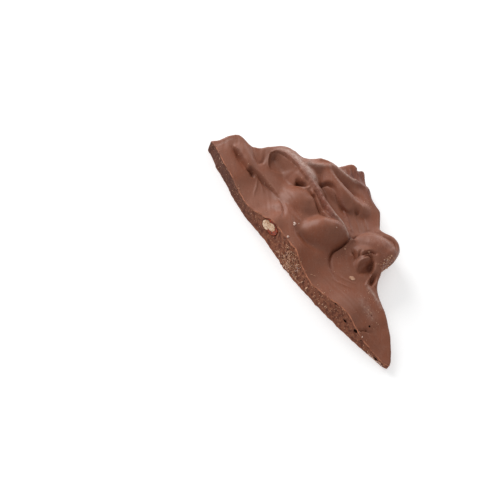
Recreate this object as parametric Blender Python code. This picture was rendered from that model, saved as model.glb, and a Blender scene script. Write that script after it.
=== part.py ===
"""One broken piece of milk chocolate bark with whole nuts, lying on its flat side.

The slab is 115 mm long. It was poured on a flat sheet, so its underside is plane, and its
top was stirred by hand into pools, folds and ridges over the nuts. Along the front it is
snapped off, and the snap shows the end of one almond.

All sizes below are in millimetres in the slab's own plan: x runs along the snapped edge from
its blunt end to its tip, y runs back from that edge, and z is the height above the underside.
"""

import math

import bmesh
import bpy
import numpy as np
from mathutils import Matrix, Vector, noise

MM = 0.001
GRID_CELL = 1.1
WALL_STEP = 1.7
WALL_ROWS = 9
SLAB_CEILING = 21.0
BLOCK_FLOOR = -12.0
BLOCK_MARGIN = 4.0

# The outline on the underside, each point with the radius that rounds the slab's top edge
# there. A snapped edge has next to none, and a poured edge runs down in a soft shoulder.
SNAPPED_EDGE = [
    (0.1, -0.7, 0.9), (3.6, -1.5, 0.3), (9.3, -3.1, 0.2), (18.1, -4.8, 0.2), (26.6, -6.5, 0.2),
    (33.7, -7.3, 0.2), (41.0, -7.1, 0.2), (50.9, -7.4, 0.2), (62.0, -8.6, 0.2),
    (73.8, -8.1, 0.2), (87.1, -7.0, 0.2), (100.8, -4.8, 0.2), (109.5, -2.6, 0.2),
    (113.6, -1.7, 0.3),
]
TIP_SIDE = [
    (115.2, -0.9, 0.4), (112.9, 1.5, 0.8), (109.2, 4.2, 1.0), (105.0, 7.0, 1.2),
    (101.6, 8.6, 1.4), (97.5, 10.6, 1.5), (94.0, 11.9, 1.5), (90.4, 13.1, 1.2), (87.0, 15.1, 0.8),
]
NUT_LOBE = [
    (84.8, 17.8, 0.6), (83.1, 20.6, 0.8), (82.6, 23.6, 1.1), (82.4, 26.9, 2.2),
    (81.6, 29.7, 3.2), (79.9, 32.7, 3.8), (77.2, 34.5, 4.0), (74.0, 34.6, 3.8),
    (71.0, 33.3, 2.6), (68.4, 32.4, 1.2),
]
BACK_EDGE = [
    (65.2, 35.0, 0.6), (61.4, 38.5, 0.8), (58.4, 39.0, 0.9), (55.4, 39.4, 0.8),
    (50.9, 41.9, 0.6), (46.2, 44.6, 0.5), (42.1, 47.1, 0.3), (40.6, 44.5, 0.3),
    (39.3, 45.2, 0.4), (36.9, 44.1, 0.7),
]
FAR_SIDE = [
    (35.5, 40.0, 1.6), (34.2, 36.0, 2.4), (31.6, 33.4, 2.6), (29.0, 31.2, 2.6),
    (27.2, 27.6, 2.6), (25.4, 24.8, 2.4), (21.6, 24.2, 2.6), (18.4, 22.6, 2.6),
    (15.8, 18.3, 2.2), (14.2, 14.9, 1.8), (12.3, 11.9, 1.5), (10.4, 10.6, 1.5),
    (6.8, 10.5, 1.5), (3.7, 9.9, 1.4), (2.1, 6.6, 1.2), (1.3, 2.6, 1.0),
]
OUTLINE = SNAPPED_EDGE + TIP_SIDE + NUT_LOBE + BACK_EDGE + FAR_SIDE
SHOULDER_DROP = 0.85

# The snapped face leans back: x along it, and how far it has gone back at LEAN_HEIGHT.
LEANS = [
    (0.0, 0.3), (20.0, 0.4), (35.0, 0.5), (42.0, 0.6), (50.0, 1.6), (58.0, 2.3), (66.0, 1.9),
    (74.0, 1.2), (80.0, 1.5), (88.0, 2.1), (94.0, 1.7), (100.0, 0.9), (106.0, 0.4), (115.0, 0.2),
]
LEAN_HEIGHT = 10.5

# The nut lobe hangs out over the sheet: its foot is set in by UNDERCUT below UNDERCUT_TOP.
UNDERCUT = 2.6
UNDERCUT_TOP = 7.5
UNDERCUT_CENTRE = (80.5, 24.0)
UNDERCUT_REACH = 9.0

# Snapped and broken faces are rough; poured faces are smooth.
BREAK_ROUGHNESS = 0.45
BREAK_GRAIN = 3.2
LEAST_ROUGHNESS = 0.15
FRONT_LIMIT = 0.5

# Pools of chocolate between the ridges: x, y, level, and how far the level holds.
POOLS = [
    # blunt end and the long shallow pool behind the snapped edge
    (4.0, 7.0, 8.2, 3.2), (9.0, 9.0, 8.5, 2.5), (2.0, 1.0, 5.6, 2.4),
    (8.0, -0.5, 7.2, 4.0), (17.0, -2.5, 7.3, 4.5), (27.0, -3.5, 6.0, 4.5),
    (19.0, 3.0, 6.4, 3.0), (30.0, 3.0, 6.4, 4.0), (35.5, -3.5, 7.0, 3.0), (40.5, -5.0, 9.2, 2.0),
    # swell over the almond, and the thick middle of the snapped edge
    (46.0, -4.5, 11.6, 2.8), (45.5, 3.5, 10.9, 3.0), (52.0, -4.5, 10.6, 2.8), (59.0, -5.0, 11.2, 3.6),
    (50.0, 7.0, 11.4, 3.0), (56.5, 1.0, 10.6, 3.4), (36.0, 9.0, 9.4, 2.5),
    # flat middle, and the second swell of the snapped edge
    (63.5, 1.5, 9.4, 3.2), (66.5, -4.0, 8.6, 3.0), (73.0, -5.0, 6.0, 3.6), (73.0, 0.5, 7.2, 4.0),
    (80.0, -4.0, 7.6, 3.2), (88.0, -3.5, 9.8, 3.8), (81.0, 5.0, 7.8, 4.0), (89.0, 4.5, 8.8, 4.2),
    (92.5, 10.0, 7.2, 3.2),
    # thin tip
    (97.5, 0.5, 6.6, 3.2), (97.0, 6.5, 6.6, 3.2), (103.0, 0.5, 4.2, 3.2), (104.5, 5.0, 4.8, 3.0),
    (111.0, 0.5, 2.8, 3.8),
    # round dish at the far side, and the slope left of it
    (14.5, 12.0, 8.3, 3.0), (23.5, 14.0, 7.7, 3.6), (29.5, 13.5, 7.9, 3.2), (32.0, 16.5, 6.8, 2.4),
    # long valley behind the main ridge
    (44.5, 24.0, 9.6, 2.6), (50.0, 23.5, 9.4, 3.0), (57.0, 24.0, 9.4, 3.4), (63.0, 24.5, 9.4, 3.4),
    # back of the slab
    (29.5, 27.4, 10.7, 2.2), (35.8, 25.0, 11.6, 2.4), (42.0, 32.3, 10.7, 2.4), (48.0, 33.4, 9.7, 3.0),
    (38.5, 42.0, 6.9, 2.6), (43.5, 43.6, 6.7, 2.4), (52.0, 38.0, 8.4, 3.0), (57.0, 34.5, 9.0, 3.4),
    (63.0, 31.0, 8.6, 3.0),
    # apron below the nut lobe
    (71.0, 8.5, 7.2, 3.4), (77.0, 10.0, 7.4, 3.4), (80.0, 13.5, 7.4, 2.4), (82.5, 21.0, 6.4, 1.8),
]

# Folds: a crest line of x, y, z, the radius of its crest, how steeply it falls towards the
# snapped edge (near) and away from it (far), and the width of the fillet at its foot.
RIDGES = {
    "front_fold": dict(
        crest=[(8.6, 7.6, 8.9), (14.0, 6.5, 9.1), (20.0, 5.9, 9.1), (26.0, 6.0, 9.1),
               (32.0, 6.2, 9.3), (37.2, 5.6, 9.9), (40.9, 3.9, 10.4), (43.6, 1.0, 10.9),
               (45.4, -2.6, 11.6)],
        round=0.9, near=1.8, far=0.5, fillet=0.8,
    ),
    "dish_wall": dict(
        crest=[(17.8, 16.6, 10.8), (20.7, 18.6, 12.0), (23.9, 19.8, 13.0), (28.3, 20.7, 13.8),
               (32.4, 20.3, 14.3), (36.2, 19.6, 14.8), (38.6, 19.0, 15.1)],
        round=0.8, near=2.2, far=0.6, fillet=0.7,
    ),
    "main_ridge": dict(
        crest=[(40.9, 18.4, 15.3), (44.7, 17.8, 15.8), (48.2, 16.9, 16.0),
               (51.9, 15.9, 16.0), (55.7, 15.4, 15.8), (58.4, 15.8, 15.5), (61.7, 15.8, 15.0),
               (64.9, 16.3, 14.0), (66.9, 17.2, 12.5)],
        round=0.7, near=1.15, far=0.95, fillet=0.7,
    ),
    "ridge_lip": dict(
        crest=[(37.6, 15.8, 11.2), (41.1, 16.2, 12.5), (44.8, 15.7, 13.2), (48.4, 14.6, 13.2),
               (51.6, 14.2, 13.0), (55.5, 14.4, 13.4)],
        round=0.4, near=2.2, far=0.7, fillet=0.5,
    ),
    "dish_rim": dict(
        crest=[(17.8, 16.6, 10.8), (17.8, 14.6, 10.1), (19.5, 12.4, 9.5), (22.5, 10.1, 8.9)],
        round=0.35, near=0.5, far=1.8, fillet=0.5,
    ),
    "saddle": dict(
        crest=[(31.5, 21.6, 13.6), (33.0, 26.0, 12.9), (35.8, 29.4, 12.8)],
        round=0.6, near=0.35, far=1.0, fillet=0.8,
    ),
    "bowl_lip": dict(
        crest=[(38.3, 21.2, 12.6), (39.1, 23.6, 11.9), (39.6, 26.0, 12.1), (41.0, 28.0, 12.9)],
        round=0.5, near=2.0, far=0.25, fillet=0.5,
    ),
    "back_ridge": dict(
        crest=[(35.8, 29.4, 12.8), (39.6, 28.6, 13.0), (43.0, 28.5, 13.2), (46.6, 28.4, 13.2),
               (49.7, 28.3, 13.0), (52.3, 28.9, 12.6), (55.3, 29.6, 12.0), (58.9, 30.0, 11.2),
               (63.3, 29.6, 10.0)],
        round=0.8, near=2.1, far=0.7, fillet=0.8,
    ),
    "far_rim": dict(
        crest=[(28.6, 30.0, 11.8), (31.0, 31.6, 12.2), (34.0, 32.6, 12.3), (36.6, 33.9, 12.1),
               (39.5, 35.0, 11.6), (42.0, 36.5, 10.9), (44.3, 38.0, 10.1), (46.4, 39.2, 9.2)],
        round=0.7, near=0.7, far=1.3, fillet=0.9,
    ),
    "side_rim": dict(
        crest=[(25.4, 23.4, 12.4), (27.6, 25.8, 11.9), (28.2, 28.2, 11.6), (28.6, 30.0, 11.8)],
        round=0.8, near=0.8, far=0.8, fillet=0.8,
    ),
    "lobe_body": dict(
        crest=[(68.6, 19.4, 11.8), (70.6, 22.4, 13.0), (73.6, 25.0, 13.6), (76.2, 27.0, 13.4)],
        round=3.0, near=1.2, far=1.0, fillet=0.7,
    ),
    "lobe_lip": dict(
        crest=[(74.0, 18.0, 11.4), (74.6, 19.4, 12.2), (75.8, 20.6, 12.7), (77.4, 20.8, 12.3)],
        round=0.4, near=2.0, far=0.35, fillet=0.4,
    ),
    "lobe_fold": dict(
        crest=[(72.0, 18.2, 11.0), (72.2, 16.2, 10.2), (72.6, 14.8, 8.8)],
        round=0.6, near=1.2, far=1.2, fillet=0.5,
    ),
    "lobe_knuckle": dict(
        crest=[(75.4, 17.4, 10.2), (75.8, 15.8, 9.6), (75.4, 14.0, 8.4)],
        round=0.9, near=0.9, far=0.9, fillet=0.7,
    ),
    "apron_rim": dict(
        crest=[(78.9, 20.4, 11.6), (80.3, 18.8, 10.4), (82.0, 16.9, 9.2), (83.2, 14.7, 8.3),
               (84.1, 13.1, 7.8), (84.6, 11.6, 7.4)],
        round=0.6, near=1.3, far=1.7, fillet=0.5,
    ),
}

# Whole nuts under the chocolate: centre, top, half length and half width, and turn in degrees.
NUTS = {
    "middle_nut": dict(centre=(42.2, 10.9), top=13.5, half=(6.4, 5.0), turn=10.0),
    "large_nut": dict(centre=(59.2, 9.0), top=15.2, half=(7.4, 6.2), turn=45.0),
    "lobe_nut": dict(centre=(76.6, 24.6), top=14.6, half=(7.0, 5.6), turn=60.0),
}
NUT_DEPTH = 3.4
NUT_FILLET = 1.0

# Hollows: a line of x, y and depth, and the half width.
GROOVES = {
    "under_front_fold": dict(
        line=[(6.6, 6.6, 0.3), (9.9, 5.3, 1.9), (12.7, 4.9, 1.8), (15.6, 4.7, 1.0),
              (19.2, 4.5, 1.8), (22.2, 4.4, 0.9), (25.0, 4.3, 0.2)],
        half=1.0,
    ),
    "blunt_end_fold": dict(line=[(12.4, 10.4, 0.8), (15.4, 9.2, 1.2), (18.2, 8.0, 0.7)], half=1.1),
    "lobe_crease": dict(
        line=[(66.3, 17.2, 3.2), (67.0, 15.2, 3.0), (67.2, 12.9, 2.2), (66.8, 9.9, 1.6),
              (67.0, 7.6, 1.2), (68.9, 5.5, 0.8), (71.4, 4.4, 0.5), (74.3, 3.1, 0.3),
              (77.1, 1.9, 0.1)],
        half=1.1,
    ),
    "lobe_step": dict(
        line=[(66.6, 18.2, 1.2), (67.4, 20.0, 0.8), (66.6, 23.0, 0.5), (66.2, 26.4, 0.4)], half=0.7
    ),
    "apron_hollow": dict(line=[(76.9, 14.6, 1.0), (77.9, 17.0, 2.0), (79.0, 18.6, 1.2)], half=1.4),
    "lobe_pocket": dict(line=[(74.9, 17.8, 0.8), (75.9, 19.2, 1.6), (77.0, 19.5, 0.8)], half=0.9),
    "left_fold": dict(line=[(70.9, 15.9, 0.7), (71.9, 14.8, 1.3), (73.4, 14.2, 0.8)], half=0.7),
    "right_fold": dict(line=[(73.0, 17.4, 0.7), (73.6, 15.8, 1.2), (74.0, 14.4, 0.6)], half=0.7),
    "notch_hollow": dict(line=[(85.2, 13.9, 2.0), (84.6, 15.4, 2.6), (84.0, 17.0, 2.0)], half=1.0),
    "back_pit": dict(line=[(56.1, 28.0, 0.9), (57.3, 28.5, 1.3)], half=0.9),
    "cave": dict(line=[(32.2, 18.0, 2.2), (34.2, 17.6, 5.0), (36.8, 16.6, 3.4)], half=1.1),
}

# The almond that the snap cut through: its centre, half sizes and turns, how it narrows inwards
# from ALMOND_CUT, and the plane of the snap. It has CLEARANCE all round in its pocket.
ALMOND_CENTRE = (45.7, -2.4, 7.4)
ALMOND_HALF = (4.1, 8.4, 3.2)
ALMOND_CUT = 0.55
ALMOND_TAPER = 0.2
ALMOND_TURN = -8.0
ALMOND_ROLL = -20.0
SNAP_POINT = (45.7, -6.75, 7.4)
SNAP_NORMAL = (-0.02, -1.0, -0.09)
CLEARANCE = 0.3

CHOCOLATE_COLOUR = (0.235, 0.098, 0.062, 1.0)
ALMOND_COLOUR = (0.55, 0.32, 0.18, 1.0)


def smooth_line(points, pieces=6, closed=False):
    """The points of a smooth curve that passes through the given ones."""
    given = np.array(points, float)
    if closed:
        given = np.vstack([given[-1], given, given[:2]])
    else:
        given = np.vstack([2 * given[0] - given[1], given, 2 * given[-1] - given[-2]])
    t = np.linspace(0.0, 1.0, pieces, endpoint=False)[:, None]
    run = []
    for before, start, end, after in zip(given, given[1:], given[2:], given[3:]):
        bend = 2 * start + (end - before) * t
        bend = bend + (2 * before - 5 * start + 4 * end - after) * t**2
        bend = bend + (3 * start - before - 3 * end + after) * t**3
        run.append(bend / 2)
    if not closed:
        run.append(given[-2:-1])
    return np.vstack(run)


def nearest_on(line, x, y):
    """Distance to a line, how far to its left (1) or right (-1) that lies, and its third value."""
    best = np.full(x.shape, np.inf)
    side = np.zeros(x.shape)
    value = np.zeros(x.shape)
    for start, end in zip(line[:-1], line[1:]):
        run = end - start
        reach = math.hypot(run[0], run[1])
        if reach < 1e-6:
            continue
        from_x = x - start[0]
        from_y = y - start[1]
        t = np.clip((from_x * run[0] + from_y * run[1]) / reach**2, 0.0, 1.0)
        gap = np.hypot(from_x - t * run[0], from_y - t * run[1])
        left = (run[0] * from_y - run[1] * from_x) / reach
        closer = gap < best
        best = np.where(closer, gap, best)
        side = np.where(closer, left / np.maximum(gap, 1e-9), side)
        value = np.where(closer, start[2] + t * run[2], value)
    return best, np.clip(side, -1.0, 1.0), value


def smooth_max(a, b, fillet):
    return 0.5 * (a + b + np.sqrt((a - b) ** 2 + fillet**2))


def pool_level(x, y):
    """The stirred surface between the ridges, where each pool keeps its own level."""
    total = np.zeros(x.shape)
    weights = np.full(x.shape, 1e-12)
    for pool_x, pool_y, level, reach in POOLS:
        weight = np.exp(-((x - pool_x) ** 2 + (y - pool_y) ** 2) / (2 * reach**2))
        total += weight * level
        weights += weight
    return total / weights


def nut_dome(nut, x, y):
    turn = math.radians(nut["turn"])
    along = (x - nut["centre"][0]) * math.cos(turn) + (y - nut["centre"][1]) * math.sin(turn)
    across = (y - nut["centre"][1]) * math.cos(turn) - (x - nut["centre"][0]) * math.sin(turn)
    spread = (along / nut["half"][0]) ** 2 + (across / nut["half"][1]) ** 2
    return nut["top"] - NUT_DEPTH * spread**1.15


def top_height(x, y):
    """Height of the slab's top over the point x, y, before its edges are rounded."""
    height = pool_level(x, y)
    for nut in NUTS.values():
        height = smooth_max(height, nut_dome(nut, x, y), NUT_FILLET)
    for ridge in RIDGES.values():
        gap, side, crest = nearest_on(smooth_line(ridge["crest"]), x, y)
        slope = ridge["near"] + (ridge["far"] - ridge["near"]) * (0.5 + 0.5 * side)
        fall = slope * (np.hypot(gap, ridge["round"]) - ridge["round"])
        height = smooth_max(height, crest - fall, ridge["fillet"])
    for groove in GROOVES.values():
        gap, _, depth = nearest_on(smooth_line(groove["line"]), x, y)
        height = height - depth * np.exp(-((gap / groove["half"]) ** 2))
    return height


def rounded_edge(x, y):
    """How far the top is lowered near the outline: a shoulder as wide as the edge's radius.

    Outside the outline the shoulder runs on downwards, so that the wall cuts it cleanly.
    """
    edge = smooth_line(OUTLINE, 4, closed=True)
    gap, side, radius = nearest_on(np.vstack([edge, edge[:1]]), x, y)
    inwards = np.where(side > 0, gap, -gap)
    shoulder = SHOULDER_DROP * radius * np.clip(1.0 - inwards / radius, 0.0, 1.0) ** 2
    run_on = 2 * SHOULDER_DROP * np.minimum(radius, 1.0) * np.clip(-inwards, 0.0, 2.0)
    return shoulder + run_on


def slab_height(x, y):
    return top_height(x, y) - rounded_edge(x, y)


def lean_of(x, z):
    """How far back the snapped face leans at x and z."""
    along, back = zip(*LEANS)
    return float(np.interp(x, along, back)) * z / LEAN_HEIGHT


def named_mesh(name, bm):
    mesh = bpy.data.meshes.new(name)
    bm.to_mesh(mesh)
    bm.free()
    return mesh


def make_terrain(cell):
    """A block whose top is the stirred surface, and which reaches past the outline all round."""
    low = np.min([p[:2] for p in OUTLINE], axis=0) - BLOCK_MARGIN
    high = np.max([p[:2] for p in OUTLINE], axis=0) + BLOCK_MARGIN
    size = high - low
    centre = (low + high) / 2
    bm = bmesh.new()
    bmesh.ops.create_grid(
        bm,
        x_segments=round(size[0] / cell),
        y_segments=round(size[1] / cell),
        size=0.5,
        matrix=Matrix.Translation((*centre, 0.0)) @ Matrix.Diagonal((*size, 1.0, 1.0)),
    )
    x = np.array([v.co.x for v in bm.verts])
    y = np.array([v.co.y for v in bm.verts])
    for vert, height in zip(bm.verts, slab_height(x, y)):
        vert.co.z = height
    rim = [e for e in bm.edges if e.is_boundary]
    skirt = bmesh.ops.extrude_edge_only(bm, edges=rim)["geom"]
    for vert in [g for g in skirt if isinstance(g, bmesh.types.BMVert)]:
        vert.co.z = BLOCK_FLOOR
    bmesh.ops.holes_fill(bm, edges=[e for e in bm.edges if e.is_boundary], sides=0)
    bmesh.ops.recalc_face_normals(bm, faces=bm.faces)
    return named_mesh("terrain", bm)


def broken_offset(x, y, z):
    """Roughness of a broken face at a point: lumps that follow the way it snapped."""
    at = Vector((x / BREAK_GRAIN, y / BREAK_GRAIN, z / (1.6 * BREAK_GRAIN)))
    return BREAK_ROUGHNESS * noise.fractal(at, 0.9, 2.1, 3)


def even_outline(step):
    """Points at even steps round the outline: x, y, softness and the outward direction."""
    line = smooth_line(OUTLINE, 12, closed=True)
    runs = np.hypot(*(np.roll(line, -1, axis=0) - line)[:, :2].T)
    way = np.concatenate([[0.0], np.cumsum(runs)])
    even = np.linspace(0.0, way[-1], round(way[-1] / step), endpoint=False)
    loop = np.vstack([line, line[:1]])
    x, y, softness = (np.interp(even, way, loop[:, column]) for column in range(3))
    ahead_x = np.roll(x, -1) - np.roll(x, 1)
    ahead_y = np.roll(y, -1) - np.roll(y, 1)
    reach = np.hypot(ahead_x, ahead_y)
    return x, y, softness, ahead_y / reach, -ahead_x / reach


def undercut_at(x, y, z):
    """How far the foot of the nut lobe is set in at a point."""
    away = math.hypot(x - UNDERCUT_CENTRE[0], y - UNDERCUT_CENTRE[1])
    below = max(0.0, 1.0 - z / UNDERCUT_TOP) ** 1.5
    return UNDERCUT * below * math.exp(-((away / UNDERCUT_REACH) ** 4))


def make_outline_prism(step):
    """The slab's sides as a tall prism. Snapped stretches are rough, and one lobe overhangs."""
    x, y, softness, out_x, out_y = even_outline(step)
    bm = bmesh.new()
    face = bm.faces.new([bm.verts.new((px, py, 0.0)) for px, py in zip(x, y)])
    rings = [list(face.verts)]
    for level in range(1, WALL_ROWS + 1):
        grown = bmesh.ops.extrude_face_region(bm, geom=[face])["geom"]
        face = next(g for g in grown if isinstance(g, bmesh.types.BMFace))
        # the grown face keeps the loop's order, so each vertex still stands over its outline point
        rings.append(list(face.verts))
        for vert in face.verts:
            vert.co.z = SLAB_CEILING * level / WALL_ROWS
    for ring in rings:
        for index, vert in enumerate(ring):
            at_x, at_y, z = vert.co
            roughness = min(1.0, max(LEAST_ROUGHNESS, 1.4 - softness[index]))
            push = roughness * broken_offset(at_x, at_y, z) - undercut_at(at_x, at_y, z)
            vert.co.x += out_x[index] * push
            vert.co.y += out_y[index] * push
            if y[index] < FRONT_LIMIT and out_y[index] < 0:
                vert.co.y += lean_of(at_x, z)
    bmesh.ops.delete(bm, geom=[f for f in bm.faces if len(f.verts) > 4], context="FACES_ONLY")
    bmesh.ops.holes_fill(bm, edges=[e for e in bm.edges if e.is_boundary], sides=0)
    bmesh.ops.recalc_face_normals(bm, faces=bm.faces)
    return named_mesh("outline_prism", bm)


def make_almond(grow, snap):
    """An almond lying back into the slab, cut off where the slab snapped, and pointed inside."""
    bm = bmesh.new()
    bmesh.ops.create_uvsphere(bm, u_segments=28, v_segments=18, radius=1.0)
    bmesh.ops.rotate(bm, verts=bm.verts, cent=(0, 0, 0), matrix=Matrix.Rotation(math.pi / 2, 3, "X"))
    for vert in bm.verts:
        narrow = 1.0 - ALMOND_TAPER * (vert.co.y + ALMOND_CUT)
        vert.co.x *= (ALMOND_HALF[0] + grow) * narrow
        vert.co.z *= (ALMOND_HALF[2] + grow) * narrow
        vert.co.y *= ALMOND_HALF[1] + grow
    roll = Matrix.Rotation(math.radians(ALMOND_ROLL), 4, "Y")
    turn = Matrix.Rotation(math.radians(ALMOND_TURN), 4, "Z")
    bm.transform(Matrix.Translation(ALMOND_CENTRE) @ turn @ roll)
    if snap is not None:
        everything = list(bm.verts) + list(bm.edges) + list(bm.faces)
        bmesh.ops.bisect_plane(
            bm, geom=everything, plane_co=snap, plane_no=SNAP_NORMAL, clear_outer=True
        )
        bmesh.ops.holes_fill(bm, edges=[e for e in bm.edges if e.is_boundary], sides=0)
        bmesh.ops.recalc_face_normals(bm, faces=bm.faces)
    return bm


def new_object(name, mesh, collection):
    mesh.transform(Matrix.Scale(MM, 4))
    obj = bpy.data.objects.new(name, mesh)
    collection.objects.link(obj)
    return obj


def hide_cutter(obj):
    obj.hide_render = True
    obj.display_type = "WIRE"


def add_boolean(obj, name, other, operation):
    cut = obj.modifiers.new(name, "BOOLEAN")
    cut.operation = operation
    cut.solver = "EXACT"
    cut.object = other


def evaluated_bounds(obj):
    graph = bpy.context.evaluated_depsgraph_get()
    corners = [Vector(corner) for corner in obj.evaluated_get(graph).bound_box]
    low = [min(corner[axis] for corner in corners) for axis in range(3)]
    high = [max(corner[axis] for corner in corners) for axis in range(3)]
    return low, high


def centre_on_origin(slab, meshes):
    """Moves every mesh so that the slab's box stands on z = 0 with its middle over the origin."""
    bpy.context.view_layer.update()
    low, high = evaluated_bounds(slab)
    middle = Vector(((low[0] + high[0]) / 2, (low[1] + high[1]) / 2, low[2]))
    for mesh in meshes:
        mesh.transform(Matrix.Translation(-middle))


def give_material(obj, name, colour, roughness):
    material = bpy.data.materials.new(name)
    material.use_nodes = True
    shader = material.node_tree.nodes["Principled BSDF"]
    shader.inputs["Base Color"].default_value = colour
    shader.inputs["Roughness"].default_value = roughness
    shader.inputs["Metallic"].default_value = 0.0
    obj.data.materials.append(material)


def build(cell=GRID_CELL, step=WALL_STEP):
    for obj in list(bpy.data.objects):
        bpy.data.objects.remove(obj, do_unlink=True)
    scene = bpy.context.scene.collection
    parts = bpy.data.collections.new("chocolate_bark")
    cutters = bpy.data.collections.new("cutters")
    scene.children.link(parts)
    scene.children.link(cutters)

    chocolate = new_object("chocolate", make_terrain(cell), parts)
    nut = new_object("nut", named_mesh("nut", make_almond(0.0, SNAP_POINT)), parts)
    sides = new_object("slab_sides", make_outline_prism(step), cutters)
    pocket_mesh = named_mesh("almond_pocket", make_almond(CLEARANCE, None))
    pocket = new_object("almond_pocket", pocket_mesh, cutters)
    hide_cutter(sides)
    hide_cutter(pocket)
    add_boolean(chocolate, "sides", sides, "INTERSECT")
    add_boolean(chocolate, "pocket", pocket, "DIFFERENCE")
    centre_on_origin(chocolate, [chocolate.data, nut.data, sides.data, pocket.data])

    give_material(chocolate, "milk_chocolate", CHOCOLATE_COLOUR, 0.45)
    give_material(nut, "almond", ALMOND_COLOUR, 0.6)


if __name__ == "__main__":
    build()
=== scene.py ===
import math
import random

import bpy
import numpy as np
from mathutils import Matrix, Vector


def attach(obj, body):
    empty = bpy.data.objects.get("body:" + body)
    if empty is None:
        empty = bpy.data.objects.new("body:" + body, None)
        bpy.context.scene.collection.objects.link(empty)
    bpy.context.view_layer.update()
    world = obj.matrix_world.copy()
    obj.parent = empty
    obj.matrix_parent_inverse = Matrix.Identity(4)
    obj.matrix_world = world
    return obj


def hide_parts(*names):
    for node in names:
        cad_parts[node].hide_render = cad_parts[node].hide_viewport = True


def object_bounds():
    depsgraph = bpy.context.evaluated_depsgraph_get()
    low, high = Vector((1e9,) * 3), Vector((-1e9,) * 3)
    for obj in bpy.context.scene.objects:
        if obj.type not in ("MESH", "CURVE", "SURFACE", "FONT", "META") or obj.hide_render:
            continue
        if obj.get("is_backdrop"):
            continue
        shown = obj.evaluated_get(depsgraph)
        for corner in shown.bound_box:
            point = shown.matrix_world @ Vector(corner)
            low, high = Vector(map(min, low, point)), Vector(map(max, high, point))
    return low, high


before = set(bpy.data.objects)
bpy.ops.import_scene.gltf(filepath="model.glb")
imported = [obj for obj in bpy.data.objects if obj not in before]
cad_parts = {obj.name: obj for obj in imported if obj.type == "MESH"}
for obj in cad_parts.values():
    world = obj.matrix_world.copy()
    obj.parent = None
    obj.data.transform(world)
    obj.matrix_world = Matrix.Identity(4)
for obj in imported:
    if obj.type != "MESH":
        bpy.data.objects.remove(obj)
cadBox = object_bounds()
bpy.ops.object.select_all(action="DESELECT")
scene = bpy.context.scene

# Everything below is laid out in millimetres on the slab's plan: x along the snapped edge
# from the blunt end to the tip, y back from it, z up from the flat underside.
millimetre = 0.001
planCentre = np.array([57.624, 19.166, 0.0])


def toFrame(points):
    return (np.asarray(points, float) - planCentre) * millimetre


def readPoints(mesh):
    flat = np.empty(len(mesh.vertices) * 3)
    mesh.vertices.foreach_get("co", flat)
    return flat.reshape(-1, 3) / millimetre + planCentre


def writePoints(mesh, points):
    mesh.vertices.foreach_set("co", toFrame(points).astype(np.float32).ravel())
    mesh.update()


# the slab's shape
slab = {
    "cell": 0.34,  # of the grid that becomes the top
    "margin": 1.6,  # of that grid round the outline
    "skirt": 12.0,  # how far the grid's rim reaches below the underside
    "wallStep": 0.4,
    "wallRow": 0.45,
    "ceiling": 20.25,  # the wall's height, above every fold
    "shoulderDrop": 0.85,
    "leanHeight": 10.5,
    "sharpAngle": 42,
    "weld": 0.03,
}

# outline on the underside: x, y and how softly the top edge rounds over there
snappedEdge = [
    (0.1, -0.7, 0.9), (3.6, -1.5, 0.3), (9.3, -3.1, 0.2), (18.1, -4.8, 0.2), (26.6, -6.5, 0.2),
    (33.7, -7.3, 0.2), (41.0, -7.1, 0.2), (50.9, -7.4, 0.2), (62.0, -8.6, 0.2),
    (73.8, -8.1, 0.2), (87.1, -7.0, 0.2), (100.8, -4.8, 0.2), (109.5, -2.9, 0.2),
    (113.5, -2.3, 0.3),
]
tipSide = [
    (115.2, -0.9, 0.3), (112.9, 1.7, 0.4), (109.2, 4.5, 0.6), (105.0, 7.2, 0.8),
    (101.6, 8.8, 1.0), (97.5, 10.7, 1.2), (94.0, 11.9, 1.5), (90.4, 13.1, 1.2), (87.0, 15.1, 0.8),
]
nutLobe = [
    (84.8, 17.8, 0.6), (83.1, 20.6, 0.8), (82.6, 23.6, 1.1), (82.4, 26.9, 1.6),
    (81.6, 29.7, 1.5), (79.9, 32.7, 1.4), (77.2, 34.5, 1.4), (74.0, 34.6, 1.4),
    (71.0, 33.3, 1.4), (68.4, 32.4, 0.9),
]
backEdge = [
    (65.2, 35.0, 0.6), (61.4, 38.3, 0.8), (58.4, 38.8, 0.9), (55.4, 39.2, 0.8),
    (50.9, 41.4, 0.6), (46.2, 43.7, 0.5), (42.1, 46.2, 0.3), (40.6, 44.1, 0.3),
    (39.3, 44.9, 0.4), (36.9, 44.0, 0.7),
]
farSide = [
    (35.5, 40.0, 1.6), (34.2, 36.0, 2.4), (31.6, 33.4, 2.6), (29.0, 31.2, 2.6),
    (27.2, 27.6, 2.4), (25.4, 24.8, 1.8), (21.6, 24.2, 1.7), (18.4, 22.6, 1.7),
    (15.8, 18.3, 1.6), (14.2, 14.9, 1.2), (12.3, 11.9, 0.9), (10.4, 10.6, 0.7),
    (6.8, 10.5, 0.6), (3.7, 9.9, 0.8), (2.1, 6.6, 1.2), (1.3, 2.6, 1.0),
]
outline = snappedEdge + tipSide + nutLobe + backEdge + farSide

# how far the snapped face has leaned back at leanHeight, along x
leans = [
    (0.0, 0.3), (20.0, 0.4), (35.0, 0.5), (42.0, 0.6), (50.0, 1.6), (58.0, 2.3), (66.0, 1.9),
    (74.0, 1.2), (80.0, 1.5), (88.0, 2.1), (94.0, 1.7), (100.0, 0.9), (106.0, 0.4), (115.0, 0.2),
]

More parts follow.
